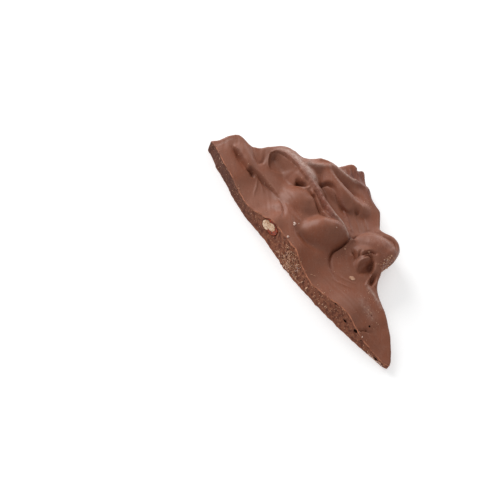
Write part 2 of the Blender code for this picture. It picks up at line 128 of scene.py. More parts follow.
# pools of chocolate between the folds: x, y, level, reach
pools = [
    (4.0, 7.0, 8.2, 3.2), (8.5, 9.4, 9.0, 2.3), (12.5, 10.5, 9.2, 1.6), (2.0, 1.0, 5.6, 2.4),  # blunt end
    (8.0, -0.5, 7.2, 4.0), (17.0, -2.5, 7.3, 4.5), (27.0, -3.5, 6.0, 4.5), (19.0, 1.0, 7.3, 2.4),  # pan
    (30.0, 1.5, 6.7, 3.0), (24.0, 8.0, 8.3, 2.0), (31.0, 8.4, 8.5, 2.2), (35.5, -3.5, 7.2, 2.6),
    (34.5, 1.5, 7.4, 2.4), (39.5, 1.0, 9.2, 2.4), (40.5, -5.0, 9.2, 2.0),
    (46.0, -4.5, 11.6, 2.8), (45.5, 3.5, 10.9, 3.0), (52.0, -4.5, 10.6, 2.8),  # over the almond
    (59.0, -5.0, 11.2, 3.6), (50.0, 7.0, 11.4, 3.0), (48.9, 12.7, 13.0, 1.7), (56.5, 1.0, 10.6, 3.4),
    (37.0, 8.4, 9.4, 2.2), (63.5, 1.5, 9.4, 3.2), (66.5, -4.0, 8.6, 3.0), (73.0, -5.0, 6.5, 3.6),
    (73.0, 0.5, 7.8, 4.0), (80.0, -4.0, 7.6, 3.2), (88.0, -3.5, 9.2, 3.8), (81.0, 5.0, 8.0, 4.0),  # apron
    (89.0, 4.5, 8.3, 4.2), (92.5, 10.0, 7.2, 3.2),
    (97.5, 0.5, 6.6, 3.2), (97.0, 6.5, 6.6, 3.2), (103.0, 0.5, 4.2, 3.2),  # tip
    (105.0, 5.2, 5.6, 2.6), (110.0, 3.2, 4.8, 2.0), (111.0, 0.5, 2.8, 3.8),
    (14.5, 12.6, 8.8, 2.4), (22.5, 14.0, 8.0, 3.0), (29.5, 13.5, 8.0, 3.0),  # round dish
    (23.5, 17.6, 9.6, 1.5), (28.0, 17.2, 9.8, 1.6), (33.0, 16.0, 8.6, 2.0), (36.0, 12.5, 9.4, 2.0),
    (44.5, 24.0, 9.6, 2.6), (50.0, 23.5, 9.4, 3.0), (57.0, 24.0, 9.4, 3.4), (63.0, 24.5, 9.4, 3.4),  # valley
    (29.5, 27.4, 10.7, 2.2), (35.8, 25.4, 10.9, 2.4), (42.0, 32.3, 10.7, 2.4), (48.0, 33.4, 9.7, 3.0),  # back
    (38.5, 42.0, 7.9, 2.6), (43.5, 43.6, 7.3, 2.4), (52.0, 36.5, 9.1, 2.6), (57.0, 34.0, 9.2, 3.0),
    (63.0, 31.0, 8.6, 3.0),
    (71.0, 9.0, 8.2, 3.0), (76.5, 10.5, 8.4, 2.6), (79.0, 15.0, 8.6, 2.2),  # below the lobe
    (70.5, 14.5, 9.2, 2.0), (74.0, 17.0, 10.6, 1.6), (85.0, 8.0, 7.6, 2.4), (82.5, 21.0, 6.4, 1.8),
]

# A line's near side is on its right as it runs, which is the snapped edge's side where the line
# runs towards the tip. Its far side is on its left.
# folds: crest radius, fall on the near and the far side, fillet at the foot, how far the crest
# hangs over to the near side, half width of its flat top, and the crest line
folds = {
    "frontFold": dict(round=0.3, near=1.6, far=0.16, fillet=0.5, hang=0.12, crest=[
        (18.7, 4.2, 9), (20.7, 5, 8.8), (23.4, 5.7, 8.7), (26.5, 6.1, 8.7), (29.9, 6.1, 8.8),
        (33.5, 5.7, 9), (37.2, 4.9, 9.5), (40.8, 4, 10.2), (44.1, 3.2, 10.9), (47.3, 3.1, 11.3),
        (49.9, 3.6, 11.3),
    ]),
    "bluntRoll": dict(round=2, near=1.4, far=0.7, fillet=0.5, hang=0, crest=[
        (7.1, 8, 8.4), (10.4, 7, 9.2), (13.6, 6.2, 9.5), (16.4, 5.3, 9.5), (18.5, 4.6, 9.1),
    ]),
    "dishRim": dict(round=0.2, near=0.18, far=1.6, fillet=0.3, hang=0, crest=[
        (18, 15.9, 10.6), (18.2, 14.4, 9.9), (19.5, 12.7, 9.4), (21.2, 11.3, 9), (23, 10.5, 8.7),
        (24.4, 10.5, 8.5), (25.9, 11.5, 8.4), (27.7, 13.2, 8.4), (28.6, 15.4, 8.4), (28.9, 16.9, 8.5),
    ]),
    "dishWall": dict(round=0.22, near=1.1, far=0.3, fillet=0.6, hang=0.6, crest=[
        (17.9, 16, 10.6), (18.3, 17, 11.3), (19.7, 18.3, 12.1), (22.3, 19.1, 12.7), (25.7, 19.3, 13.3),
        (29.3, 19.3, 13.8), (32.5, 19.2, 14.2), (35.8, 18.6, 14.3),
    ]),
    "ropeLip": dict(round=0.35, near=3.6, far=0.8, fillet=0.3, hang=0.45, crest=[
        (32.6, 19.1, 14.3), (35.6, 18.8, 14.2), (38.3, 18.2, 14), (41.4, 17.4, 13.8),
        (44.3, 16.4, 13.8), (47.3, 15.2, 13.9), (50.2, 13.9, 14), (53.4, 13.4, 14.1), (56, 13.5, 14.2),
    ]),
    "underLip": dict(round=0.35, near=3, far=0.35, fillet=0.3, hang=0.4, crest=[
        (32.8, 16.9, 10.6), (35.4, 16.6, 11.4), (38, 16.3, 12.2), (40.7, 16.1, 13), (43.5, 15.9, 13.7),
    ]),
    "wallSheet": dict(round=0.8, near=0.9, far=0.9, fillet=0.6, hang=0, flat=0.5, crest=[
        (30.8, 17.8, 11.7), (33.9, 17.8, 12.7), (36.8, 17.6, 13.1), (39.8, 17.1, 13.4),
    ]),
    "mainRidge": dict(round=0.45, near=1.6, far=2.2, fillet=0.35, hang=0.2, flat=0.15, crest=[
        (40.5, 18.4, 14.2), (43.3, 18.1, 14.2), (46.1, 17.7, 14.4), (49.3, 17.1, 14.5),
        (52.2, 16.8, 14.6), (55, 16.7, 14.5),
    ]),
    "strandRidge": dict(round=0.45, near=0.9, far=1.8, fillet=0.5, hang=0.25, crest=[
        (52.6, 16.3, 14.4), (54.8, 16.5, 14.5), (56.8, 16.7, 14.4), (59, 17.1, 14), (61.4, 17.1, 13.4),
        (63.6, 16.8, 12.6), (65.6, 17.1, 11.6), (67.1, 18.4, 10.6),
    ]),
    "ropeNeck": dict(round=0.5, near=3, far=1.2, fillet=0.4, hang=0.2, flat=0.3, crest=[
        (33.1, 19.3, 14.2), (37.2, 18.8, 14.3), (40.3, 18.4, 14.3), (42.9, 18, 14.3),
    ]),
    "saddle": dict(round=0.8, near=0.9, far=0.8, fillet=0.7, hang=0, crest=[
        (30.9, 23.2, 14), (32, 24.3, 13.7), (33, 26, 13.4), (34.2, 28, 13.2), (35.9, 30, 13.1),
    ]),
    "shoulderBand": dict(round=1, near=0.5, far=0.9, fillet=0.8, hang=0, crest=[
        (42.1, 3.3, 11), (45.9, 1.9, 11.4), (49.4, 0.2, 11.6), (52.6, -1.5, 11.4), (55.8, -2.8, 11),
        (59.5, -3.9, 10.4),
    ]),
    "bowlLip": dict(round=0.3, near=4, far=0.1, fillet=0.3, hang=0.8, crest=[
        (39.6, 21.7, 10.6), (40, 23.3, 10.9), (40.8, 24.7, 11.2), (42.4, 25.9, 11.6), (44.9, 26, 12),
        (47.8, 25.7, 12.3), (50.6, 25.3, 12), (53, 25.2, 11.2), (55.1, 25.9, 10.4),
    ]),
    "valleyStrand": dict(round=0.7, near=0.5, far=1, fillet=0.4, hang=0.15, crest=[
        (43.8, 23.7, 8.8), (46.1, 23.8, 9.3), (48.9, 23.4, 9.6), (52, 22.9, 9.8), (55.8, 21.9, 9.8),
        (59.8, 20.9, 9.7), (63.4, 19.8, 9.6),
    ]),
    "rollLip": dict(round=0.25, near=5, far=0.1, fillet=0.3, hang=1.1, crest=[
        (8.2, 5.6, 8.6), (10.5, 5.3, 8.9), (12.6, 4.9, 9), (14.5, 4.3, 9), (16.6, 4.1, 8.9),
        (18.8, 4.2, 8.9),
    ]),
    "backRidge": dict(round=2, near=0.75, far=0.9, fillet=0.7, hang=0, crest=[
        (35.9, 30, 13.1), (38.6, 29.2, 13.2), (42.2, 28.3, 13.4), (45.6, 27.8, 13.5),
        (48.5, 28.1, 13.3), (51.4, 28.6, 12.8), (54.3, 29.6, 12.1), (56.7, 31.1, 11.4),
    ]),
    "farRim": dict(round=1, near=0.6, far=1.7, fillet=0.7, hang=0, crest=[
        (31.3, 30.5, 12.4), (33.5, 31.8, 12.7), (37.1, 32.9, 13), (40.5, 34.1, 12.5),
        (43.5, 35.7, 11.6), (45.6, 37.6, 10.8), (47.4, 39.2, 9.9), (49.8, 39.5, 9), (52.2, 39, 8.3),
        (54.6, 38.2, 7.6),
    ]),
    "lobeLip": dict(round=0.25, near=3, far=0.3, fillet=0.3, hang=0.35, crest=[
        (75.2, 16, 11.2), (74.9, 17.2, 11.8), (75.2, 18.9, 12.2), (76.3, 19.8, 12.3),
        (77.9, 19.7, 12.2), (80, 18.9, 11.4), (81.8, 17.5, 10.6), (83.4, 15.2, 9.6), (84.4, 12.3, 8.8),
        (85.3, 10.9, 8.2),
    ]),
    "earRidge": dict(round=0.5, near=1.9, far=1.2, fillet=0.4, hang=0, crest=[
        (77.4, 12.1, 9), (76.5, 13, 9.8), (76, 14.4, 10.6), (76.1, 15.7, 11.2), (76.6, 17.1, 11.5),
        (77.6, 18.3, 11),
    ]),
    "lobeTop": dict(round=3.2, near=1.1, far=0.4, fillet=0.6, hang=0, crest=[
        (69.7, 18.9, 10.2), (70.6, 21.3, 11.5), (72.7, 23.3, 12.8), (75.7, 24.8, 13.3),
        (78.8, 25.4, 12.9),
    ]),
    "leftStroke": dict(round=0.3, near=0.9, far=0.9, fillet=0.3, hang=0, crest=[
        (71.6, 18.3, 10.6), (72.4, 16.4, 10.3), (73.4, 15, 9.8), (74.3, 14.1, 9.3),
    ]),
    "sideRim": dict(round=0.8, near=0.8, far=0.8, fillet=0.8, hang=0, crest=[
        (24.0, 22.6, 12.2), (27.0, 25.2, 10.9), (28.2, 28.2, 10.6), (28.6, 30.0, 10.6),
    ]),
    "lobeRim": dict(round=0.9, near=0.35, far=0.9, fillet=0.8, hang=0, crest=[
        (69.6, 31.6, 9.8), (72.6, 32.4, 10.6), (75.0, 32.8, 10.9), (77.4, 32.4, 10.9),
        (79.2, 30.8, 10.6), (80.6, 28.4, 9.8),
    ]),
}

# whole nuts under the surface
nuts = {
    "middleNut": dict(
        centre=(43.2, 11.1), top=13.3, half=(8.0, 6.5), turn=10.0, fall=3.4, flat=1.15, fillet=1.0,
    ),
    "largeNut": dict(
        centre=(58.5, 10.4), top=15.5, half=(8.7, 5.9), turn=60.0, fall=4.4, flat=1.2, fillet=2.0,
    ),
}

# creases: half width on the near and the far side, and a line of x, y, depth
creases = {
    "bluntPocket": dict(near=1.5, far=0.5, line=[
        (7.9, 4.6, 0.3), (9.5, 4.9, 1), (11.2, 4.9, 1.6), (13, 4.5, 1.9), (15, 4.1, 1.9),
        (17.2, 3.9, 1.7), (19.2, 4, 1.6),
    ]),
    "secondPocket": dict(near=0.9, far=0.5, line=[
        (19.4, 3.9, 0.9), (20.8, 3.8, 1.7), (22.4, 3.3, 1),
    ]),
    "foldFoot": dict(near=0.6, far=0.25, line=[
        (20.9, 4.4, 0.3), (23.7, 4.8, 0.8), (26.8, 5, 0.9), (29.9, 5.1, 0.9), (33.2, 5.1, 0.8),
        (36.6, 4.7, 0.4),
    ]),
    "panArc": dict(near=0.55, far=0.8, line=[
        (35.1, 4.8, 0.2), (37.7, 4.3, 0.5), (40.5, 3, 0.6), (42.9, 1.5, 0.55), (44.6, -0.1, 0.3),
        (45.4, -1.7, 0.1),
    ]),
    "bandSeam": dict(near=0.8, far=0.6, line=[
        (33.7, 8.8, 0.15), (36.9, 7.8, 0.35), (40.7, 6.8, 0.4), (44.5, 6, 0.35), (48.3, 5.1, 0.3),
        (51.2, 4.5, 0.15),
    ]),
    "bluntDent": dict(near=0.7, far=0.7, line=[
        (12, 10.5, 0.5), (14.3, 9.5, 0.5), (17, 8.4, 0.45), (19.2, 8.3, 0.5), (19.7, 9.8, 0.45),
        (18.3, 11.9, 0.35), (16.3, 13.4, 0.2),
    ]),
    "cave": dict(near=0.62, far=0.62, line=[
        (34.4, 15.3, 1), (35.5, 15.2, 4.5), (36.7, 15.3, 6.5), (37.6, 15.6, 4),
    ]),
    "caveMouth": dict(near=0.5, far=0.7, line=[
        (35, 13.4, 0.2), (35.8, 14.3, 1.6), (37, 15.2, 3.2), (38.4, 15.8, 2.4), (39.5, 16.2, 0.8),
    ]),
    "dishGroove": dict(near=0.42, far=0.3, line=[
        (18.5, 14.9, 0.5), (18.3, 16.1, 0.7), (19.3, 17.1, 0.7), (21.5, 18, 0.7), (25.1, 18.5, 0.7),
        (28.9, 18.6, 0.7), (32.5, 18.4, 0.6), (35.6, 18.2, 0.4),
    ]),
    "bumpSeam": dict(near=1.2, far=2, line=[
        (51.9, 3.5, 0.15), (51.1, 5.9, 0.3), (50.8, 8.5, 0.45), (50.9, 10.9, 0.6), (51.6, 12.8, 0.7),
    ]),
    "ridgeFoot": dict(near=0.5, far=0.3, line=[
        (40.9, 16.1, 0.2), (43.5, 15.6, 0.4), (46.3, 14.6, 0.7), (49.1, 13.7, 1.1), (51.6, 13.3, 1),
        (54, 13, 0.4),
    ]),
    "ropeGroove": dict(near=0.42, far=0.42, line=[
        (39.9, 17.8, 0.2), (42.9, 17.3, 0.5), (45.8, 16.7, 0.6), (48.7, 15.8, 0.5), (51.6, 15.2, 0.5),
        (54.5, 15, 0.2),
    ]),
    "hollowC": dict(near=1.2, far=1.1, line=[
        (37.8, 30.8, 0.4), (40.4, 31.3, 0.8), (43.7, 31.6, 1.1), (46.7, 32.2, 1.3), (49.1, 32.7, 1.2),
        (51.4, 33.7, 0.4),
    ]),
    "lipFoot": dict(near=0.9, far=0.6, line=[
        (40.1, 22.3, 1), (40.7, 24.5, 1.8), (42.2, 25.8, 2.2), (44.4, 26.2, 2.2), (47.3, 25.8, 1.9),
        (50.6, 25, 1.4), (54.3, 24.3, 0.5),
    ]),
    "pit": dict(near=0.6, far=0.6, line=[
        (57, 28.1, 1), (58, 28.1, 1.2),
    ]),
    "valleyEnd": dict(near=0.35, far=0.5, line=[
        (65.6, 17.4, 1.4), (66.5, 18.5, 0.9), (66.7, 20.2, 0.5), (66.6, 22.7, 0.3), (66.6, 25.1, 0.25),
        (66.9, 27.7, 0.15),
    ]),
    "lobeCrease": dict(near=0.75, far=0.3, line=[
        (65.8, 17.5, 1.3), (66.4, 16, 1.7), (66.8, 13.8, 1.9), (66.9, 11.2, 1.8), (66.9, 8.8, 1.5),
        (67.7, 6.9, 1.3), (69, 5.4, 1.1), (70.9, 4, 0.8), (73.3, 3, 0.55), (75.7, 2.4, 0.4),
        (78, 2.2, 0.2),
    ]),
    "bumpDimple": dict(near=1.5, far=1.4, line=[
        (53.7, 0.4, 0.5), (56, 0.5, 1.4), (58.8, 0.9, 1.5), (61.5, 1.9, 0.8), (63.6, 3.3, 0.3),
    ]),
    "earHollow": dict(near=1.3, far=0.9, line=[
        (79.4, 12.2, 0.7), (79.6, 13.8, 1.3), (79.5, 15.6, 1.5), (78.9, 17.8, 1.3), (78, 19.1, 0.7),
    ]),
    "lobeCrescent": dict(near=0.5, far=0.45, line=[
        (74.6, 15.6, 0.4), (74.4, 17.1, 1.3), (74.7, 18.7, 1.9), (75.5, 20.1, 1.9), (77, 20.9, 1.1),
    ]),
    "earFloor": dict(near=1.1, far=1.1, line=[
        (79.6, 18.2, 0.5), (81, 16.2, 0.8), (82.1, 13.9, 0.5),
    ]),
    "leftGroove": dict(near=0.5, far=0.6, line=[
        (70.4, 15.2, 0.6), (72, 14.6, 1.7), (74, 14, 1.2),
    ]),
    "rightGroove": dict(near=0.45, far=0.4, line=[
        (72.8, 16.9, 0.5), (73.8, 15.6, 1.1), (74.7, 14.6, 0.5),
    ]),
    "rimRoll": dict(near=0.4, far=0.3, line=[
        (71.9, 30.4, 0.3), (74.4, 31.5, 0.5), (76.6, 31.8, 0.55), (78.5, 31.1, 0.55),
        (80.1, 29.5, 0.5), (81.3, 26.9, 0.3),
    ]),
    "notch": dict(near=0.9, far=0.9, line=[
        (83.8, 15.8, 2.4), (84.6, 14.6, 3.2), (85.5, 13, 1.8),
    ]),
    "crack": dict(near=0.22, far=0.5, line=[
        (98.9, -3.8, 0.8), (99.3, -2.5, 0.75), (100.1, -1.3, 0.6), (101.9, 0.4, 0.2),
    ]),
}

# raised lines, the same way
beads = {
    "panRim": dict(near=0.8, far=0.3, line=[
        (33.2, 5.4, 0.1), (35.7, 4.7, 0.15), (38.3, 3.7, 0.22), (41.1, 2, 0.25), (43.2, 0.5, 0.2),
        (44.9, -1.7, 0.1),
    ]),
    "thinStreak": dict(near=0.3, far=0.3, line=[
        (24.4, 4.1, 0.15), (25.9, 2.6, 0.3), (27.6, 0.9, 0.3), (29, -1, 0.25), (30.8, -2.8, 0.1),
    ]),
    "farStreak": dict(near=0.3, far=0.3, line=[
        (26, 4, 0.2), (28.5, 3.2, 0.2), (31, 1.8, 0.12),
    ]),
    "bluntStroke": dict(near=0.35, far=0.35, line=[
        (7.3, 2.2, 0.06), (11.8, 0.6, 0.14), (17.9, -2, 0.14), (23.3, -4.1, 0.08),
    ]),
    "valleyLine": dict(near=0.36, far=0.36, line=[
        (42.6, 26, 0.1), (44.9, 26.1, 0.4), (48.2, 25.7, 0.5), (51.9, 25, 0.5), (55.7, 23.8, 0.5),
        (59.4, 22.3, 0.45), (63.2, 20.5, 0.3),
    ]),
    "valleyStreakTwo": dict(near=0.4, far=0.4, line=[
        (54.5, 31.3, 0.1), (58.3, 30.5, 0.24), (62.3, 28.9, 0.24), (65.2, 27.3, 0.1),
    ]),
    "valleyStreak": dict(near=0.35, far=0.35, line=[
        (50.3, 28.6, 0.1), (54, 27.7, 0.3), (58.1, 26.4, 0.32), (62.1, 24.8, 0.3), (65.2, 23.2, 0.15),
    ]),
    "apronRim": dict(near=0.5, far=0.4, line=[
        (85.2, 10.8, 0.3), (87.3, 10.6, 0.5), (89.8, 10.2, 0.4), (92.8, 9.9, 0.2),
    ]),
    "hatchTwo": dict(near=0.3, far=0.3, line=[
        (75.1, 3.2, 0.08), (77.7, 3.9, 0.16), (80.2, 5.3, 0.16), (82.4, 7.1, 0.08),
    ]),
    "hatchOne": dict(near=0.3, far=0.3, line=[
        (75.9, 0.8, 0.08), (78.1, 1.3, 0.2), (80.5, 2.4, 0.2), (82.9, 4.1, 0.08),
    ]),
    "dishBead": dict(near=0.35, far=0.35, line=[
        (17.9, 16.5, 0.1), (18.1, 15, 0.25), (18.8, 13.6, 0.3), (20.2, 12.2, 0.3), (22, 10.8, 0.25),
        (23.6, 10.4, 0.1),
    ]),
    "tipStroke": dict(near=0.3, far=0.3, line=[
        (100, -1.9, 0.1), (103.1, -1.3, 0.16), (107, -0.7, 0.16), (111.2, -0.4, 0.08),
    ]),
    "tipStrokeTwo": dict(near=0.3, far=0.3, line=[
        (101.9, 0.7, 0.08), (106.1, 1, 0.12), (109.8, 1.2, 0.06),
    ]),
}

# how folds, creases and nuts shape the top, and how far from its own box a line still does
relief = {
    "foldReach": 16.0,
    "creaseReach": 5.0,
    "steepFrom": 2.5,  # farther from its crest than this a fold falls away faster
    "steepening": 0.12,
    "hangReach": 1.1,
    "nutUnevenness": 0.4,
    "nutUnevenSize": 4.5,
}

# where the surface is dusted pale, partly a painted sheen: a painted highlight on slopes and crests that face
# back; and where it is rough and reddish: x, y, strength
dustAndSheenBands = {
    "backSlope": dict(half=1.5, line=[
        (19, 18.7, 0.5), (21.1, 20, 0.8), (23.9, 20.7, 1), (27.4, 21, 1), (31.2, 20.9, 1),
        (35.1, 20.9, 1), (39.1, 20.2, 0.7), (42.8, 19.9, 0.3),
    ]),
    "ropeShoulder": dict(half=1.0, line=[
        (43.3, 19.9, 0.3), (47.3, 19.3, 0.7), (51.2, 18.1, 0.8), (54.1, 17.4, 0.5),
    ]),
    "saddleBand": dict(half=0.8, line=[
        (31.3, 23, 0.9), (32.7, 25.1, 0.6), (34.3, 28.2, 0.5), (36.4, 30.9, 0.4),
    ]),
    "farBand": dict(half=0.7, line=[
        (35.1, 32.1, 0.6), (38.2, 33.4, 0.8), (41.5, 34.5, 1), (44.3, 36.2, 0.9), (46.1, 37.6, 0.9),
    ]),
    "strand": dict(half=0.75, line=[
        (53.5, 16.6, 0.5), (55.4, 16.5, 1), (57.6, 16.9, 1), (60, 17.2, 1), (62.4, 17, 1),
        (64.6, 16.9, 1), (66.4, 17.6, 0.9),
    ]),
    "apronEdge": dict(half=0.8, line=[
        (85.8, 10.8, 0.5), (88.9, 10.7, 0.8), (92.4, 10.3, 0.7), (95.4, 9.8, 0.4),
    ]),
    "tipDust": dict(half=1.6, line=[
        (89.9, 4.1, 0.3), (93.7, 4.3, 0.4), (96.7, 4, 0.25),
    ]),
    "bluntTop": dict(half=0.5, line=[
        (3.6, -0.4, 0.3), (3.8, 3.1, 0.5), (4.2, 6.3, 0.4),
    ]),
}
ropy = {
    "rope": dict(half=1.6, line=[
        (33.7, 19.2, 0.4), (38.1, 18.8, 0.7), (42.9, 18.1, 1), (46.3, 17.4, 1), (49.4, 16.6, 1),
        (52.6, 15.8, 1), (55.8, 15.1, 0.9), (58.8, 14.7, 0.6),
    ]),
    "dishLip": dict(half=0.45, line=[
        (17.9, 16, 0.5), (19.7, 18.3, 0.7), (25.7, 19.2, 0.8), (32.6, 19.1, 0.9), (38.9, 18, 0.9),
        (45.5, 16.3, 0.6),
    ]),
    "valleyLine": dict(half=0.6, line=[
        (47.6, 25.3, 0.4), (51.8, 24.9, 0.8), (55.8, 23.9, 0.8), (59.5, 22.5, 0.6), (63.3, 20.7, 0.4),
    ]),
    "lobe": dict(half=4.5, line=[
        (71, 20.4, 0.2), (73.3, 23.7, 0.35), (77, 25.2, 0.35),
    ]),
}


def smoothLine(points, pieces=6, closed=False):
    given = np.array(points, float)
    if closed:
        given = np.vstack([given[-1], given, given[:2]])
    else:
        given = np.vstack([2 * given[0] - given[1], given, 2 * given[-1] - given[-2]])
    t = np.linspace(0.0, 1.0, pieces, endpoint=False)[:, None]
    run = []
    for before, start, end, after in zip(given, given[1:], given[2:], given[3:]):
        bend = 2 * start + (end - before) * t
        bend = bend + (2 * before - 5 * start + 4 * end - after) * t**2
        bend = bend + (3 * start - before - 3 * end + after) * t**3
        run.append(bend / 2)
    if not closed:
        run.append(given[-2:-1])
    return np.vstack(run)


frontLine = smoothLine(snappedEdge)


def nearestOn(line, x, y):
    # distance to a line, its left (1) or right (-1), its third value, and the way to its right
    best = np.full(x.shape, np.inf)
    side = np.zeros(x.shape)
    value = np.zeros(x.shape)
    rightX = np.zeros(x.shape)
    rightY = np.zeros(x.shape)
    for start, end in zip(line[:-1], line[1:]):
        run = end - start
        reach = math.hypot(run[0], run[1])
        if reach < 1e-6:
            continue
        fromX = x - start[0]
        fromY = y - start[1]
        t = np.clip((fromX * run[0] + fromY * run[1]) / reach**2, 0.0, 1.0)
        gap = np.hypot(fromX - t * run[0], fromY - t * run[1])
        left = (run[0] * fromY - run[1] * fromX) / reach
        closer = gap < best
        best = np.where(closer, gap, best)
        side = np.where(closer, left / np.maximum(gap, 1e-9), side)
        value = np.where(closer, start[2] + t * run[2], value)
        rightX = np.where(closer, run[1] / reach, rightX)
        rightY = np.where(closer, -run[0] / reach, rightY)
    return best, np.clip(side, -1.0, 1.0), value, rightX, rightY


def smoothMax(a, b, fillet):
    return 0.5 * (a + b + np.sqrt((a - b) ** 2 + fillet**2))


randomTable = np.random.default_rng(7).random((256, 256))


def ripple(a, b):
    # smooth value noise from 0 to 1, one lump to a unit; a number added to a or b moves to other lumps
    i = np.floor(a).astype(int)
    j = np.floor(b).astype(int)
    s = a - i
    t = b - j
    s = s * s * (3 - 2 * s)
    t = t * t * (3 - 2 * t)
    low = randomTable[i % 256, j % 256] * (1 - s) + randomTable[(i + 1) % 256, j % 256] * s
    high = randomTable[i % 256, (j + 1) % 256] * (1 - s)
    high = high + randomTable[(i + 1) % 256, (j + 1) % 256] * s
    return low * (1 - t) + high * t


def lumps(a, b, layers=3):
    # ripple in several sizes, from about -1 to 1
    total = np.zeros(np.shape(a))
    for layer in range(layers):
        finer = 2**layer
        total = total + (2 * ripple(a * finer + 17.3 * layer, b * finer + 5.1 * layer) - 1) / finer
    return total / 1.75


def poolLevel(x, y):
    total = np.zeros(x.shape)
    weights = np.full(x.shape, 1e-12)
    for poolX, poolY, level, reach in pools:
        weight = np.exp(-((x - poolX) ** 2 + (y - poolY) ** 2) / (2 * reach**2))
        total += weight * level
        weights += weight
    return total / weights


def nutDome(nut, x, y):
    turn = math.radians(nut["turn"])
    along = (x - nut["centre"][0]) * math.cos(turn) + (y - nut["centre"][1]) * math.sin(turn)
    across = (y - nut["centre"][1]) * math.cos(turn) - (x - nut["centre"][0]) * math.sin(turn)
    spread = (along / nut["half"][0]) ** 2 + (across / nut["half"][1]) ** 2
    size = relief["nutUnevenSize"]
    uneven = relief["nutUnevenness"] * lumps(x / size + nut["top"], y / size, 2)
    return nut["top"] + uneven - nut["fall"] * spread ** nut["flat"]


def boxRound(line, reach, x, y):
    # which points lie in a line's box or within reach of it
    low = line.min(axis=0) - reach
    high = line.max(axis=0) + reach
    return (x > low[0]) & (x < high[0]) & (y > low[1]) & (y < high[1])


def bySide(item, side):
    return item["near"] + (item["far"] - item["near"]) * (0.5 + 0.5 * side)


def stirredTop(x, y):
    # height of the top, and how far each point is pushed sideways
    height = poolLevel(x, y)
    pushX = np.zeros(x.shape)
    pushY = np.zeros(x.shape)
    for nut in nuts.values():
        height = smoothMax(height, nutDome(nut, x, y), nut["fillet"])
    for fold in folds.values():
        line = smoothLine(fold["crest"])
        near = boxRound(line, relief["foldReach"], x, y)
        gap, side, crest, rightX, rightY = nearestOn(line, x[near], y[near])
        gap = np.clip(gap - fold.get("flat", 0.0), 0.0, None)
        fall = bySide(fold, side) * (np.hypot(gap, fold["round"]) - fold["round"])
        fall = fall + relief["steepening"] * np.clip(gap - relief["steepFrom"], 0.0, None) ** 2
        height[near] = smoothMax(height[near], crest - fall, fold["fillet"])
        hang = fold["hang"] * np.exp(-((gap / relief["hangReach"]) ** 2))
        pushX[near] += hang * rightX
        pushY[near] += hang * rightY
    for way, lines in ((-1, creases), (1, beads)):
        for crease in lines.values():
            line = smoothLine(crease["line"])
            near = boxRound(line, relief["creaseReach"], x, y)
            gap, side, depth, _, _ = nearestOn(line, x[near], y[near])
            height[near] += way * depth * np.exp(-((gap / bySide(crease, side)) ** 2))
    return height, pushX, pushY


def roundedEdge(x, y):
    # how far the top is lowered near the outline, and how far inside it each point is
    edge = smoothLine(outline, 4, closed=True)
    gap, side, radius, _, _ = nearestOn(np.vstack([edge, edge[:1]]), x, y)
    inwards = np.where(side > 0, gap, -gap)
    shoulder = slab["shoulderDrop"] * radius * np.clip(1.0 - inwards / radius, 0.0, 1.0) ** 2
    runOn = 2 * slab["shoulderDrop"] * np.minimum(radius, 1.0) * np.clip(-inwards, 0.0, 2.0)
    return shoulder + runOn, inwards


def strength(lines, x, y):
    # the strongest of several soft bands
    total = np.zeros(x.shape)
    for band in lines.values():
        gap, _, value, _, _ = nearestOn(smoothLine(band["line"]), x, y)
        total = np.maximum(total, value * np.exp(-((gap / band["half"]) ** 2)))
    return total


def ramp(value, start, width):
    # 0 below start, 1 once width beyond it
    return np.clip((value - start) / width, 0.0, 1.0)


corner = {"fromX": 38.0, "fromY": 36.5, "fade": 3.0}


def brokenCorner(x, y):
    # the far corner, where the top has flaked off in ledges
    return ramp(y, corner["fromY"], corner["fade"]) * ramp(x, corner["fromX"], corner["fade"])


# heights and sizes of the streaks left by the pour, of swells, ropes and dust, and of the ledges
strokes = {
    "height": 0.12, "spacing": 0.75, "length": 11.0, "way": -38.0, "bend": 0.8, "bendSize": 9.0,
    "patchSize": 10.0, "swell": 0.12, "swellSize": 6.0,
    "ropeHeight": 0.3, "ropeSize": 0.7, "ropeStretch": 2.2, "dustAndSheen": 0.13, "dustSize": 0.6,
    "edgeHeight": 1.3, "edgeFrom": 56.0, "edgeFade": 8.0, "edgeReach": 15.0,
    "ledge": 0.35, "ledgeWidth": 1.3, "ledgeLength": 9.0, "ledgeSlant": 0.45,
}


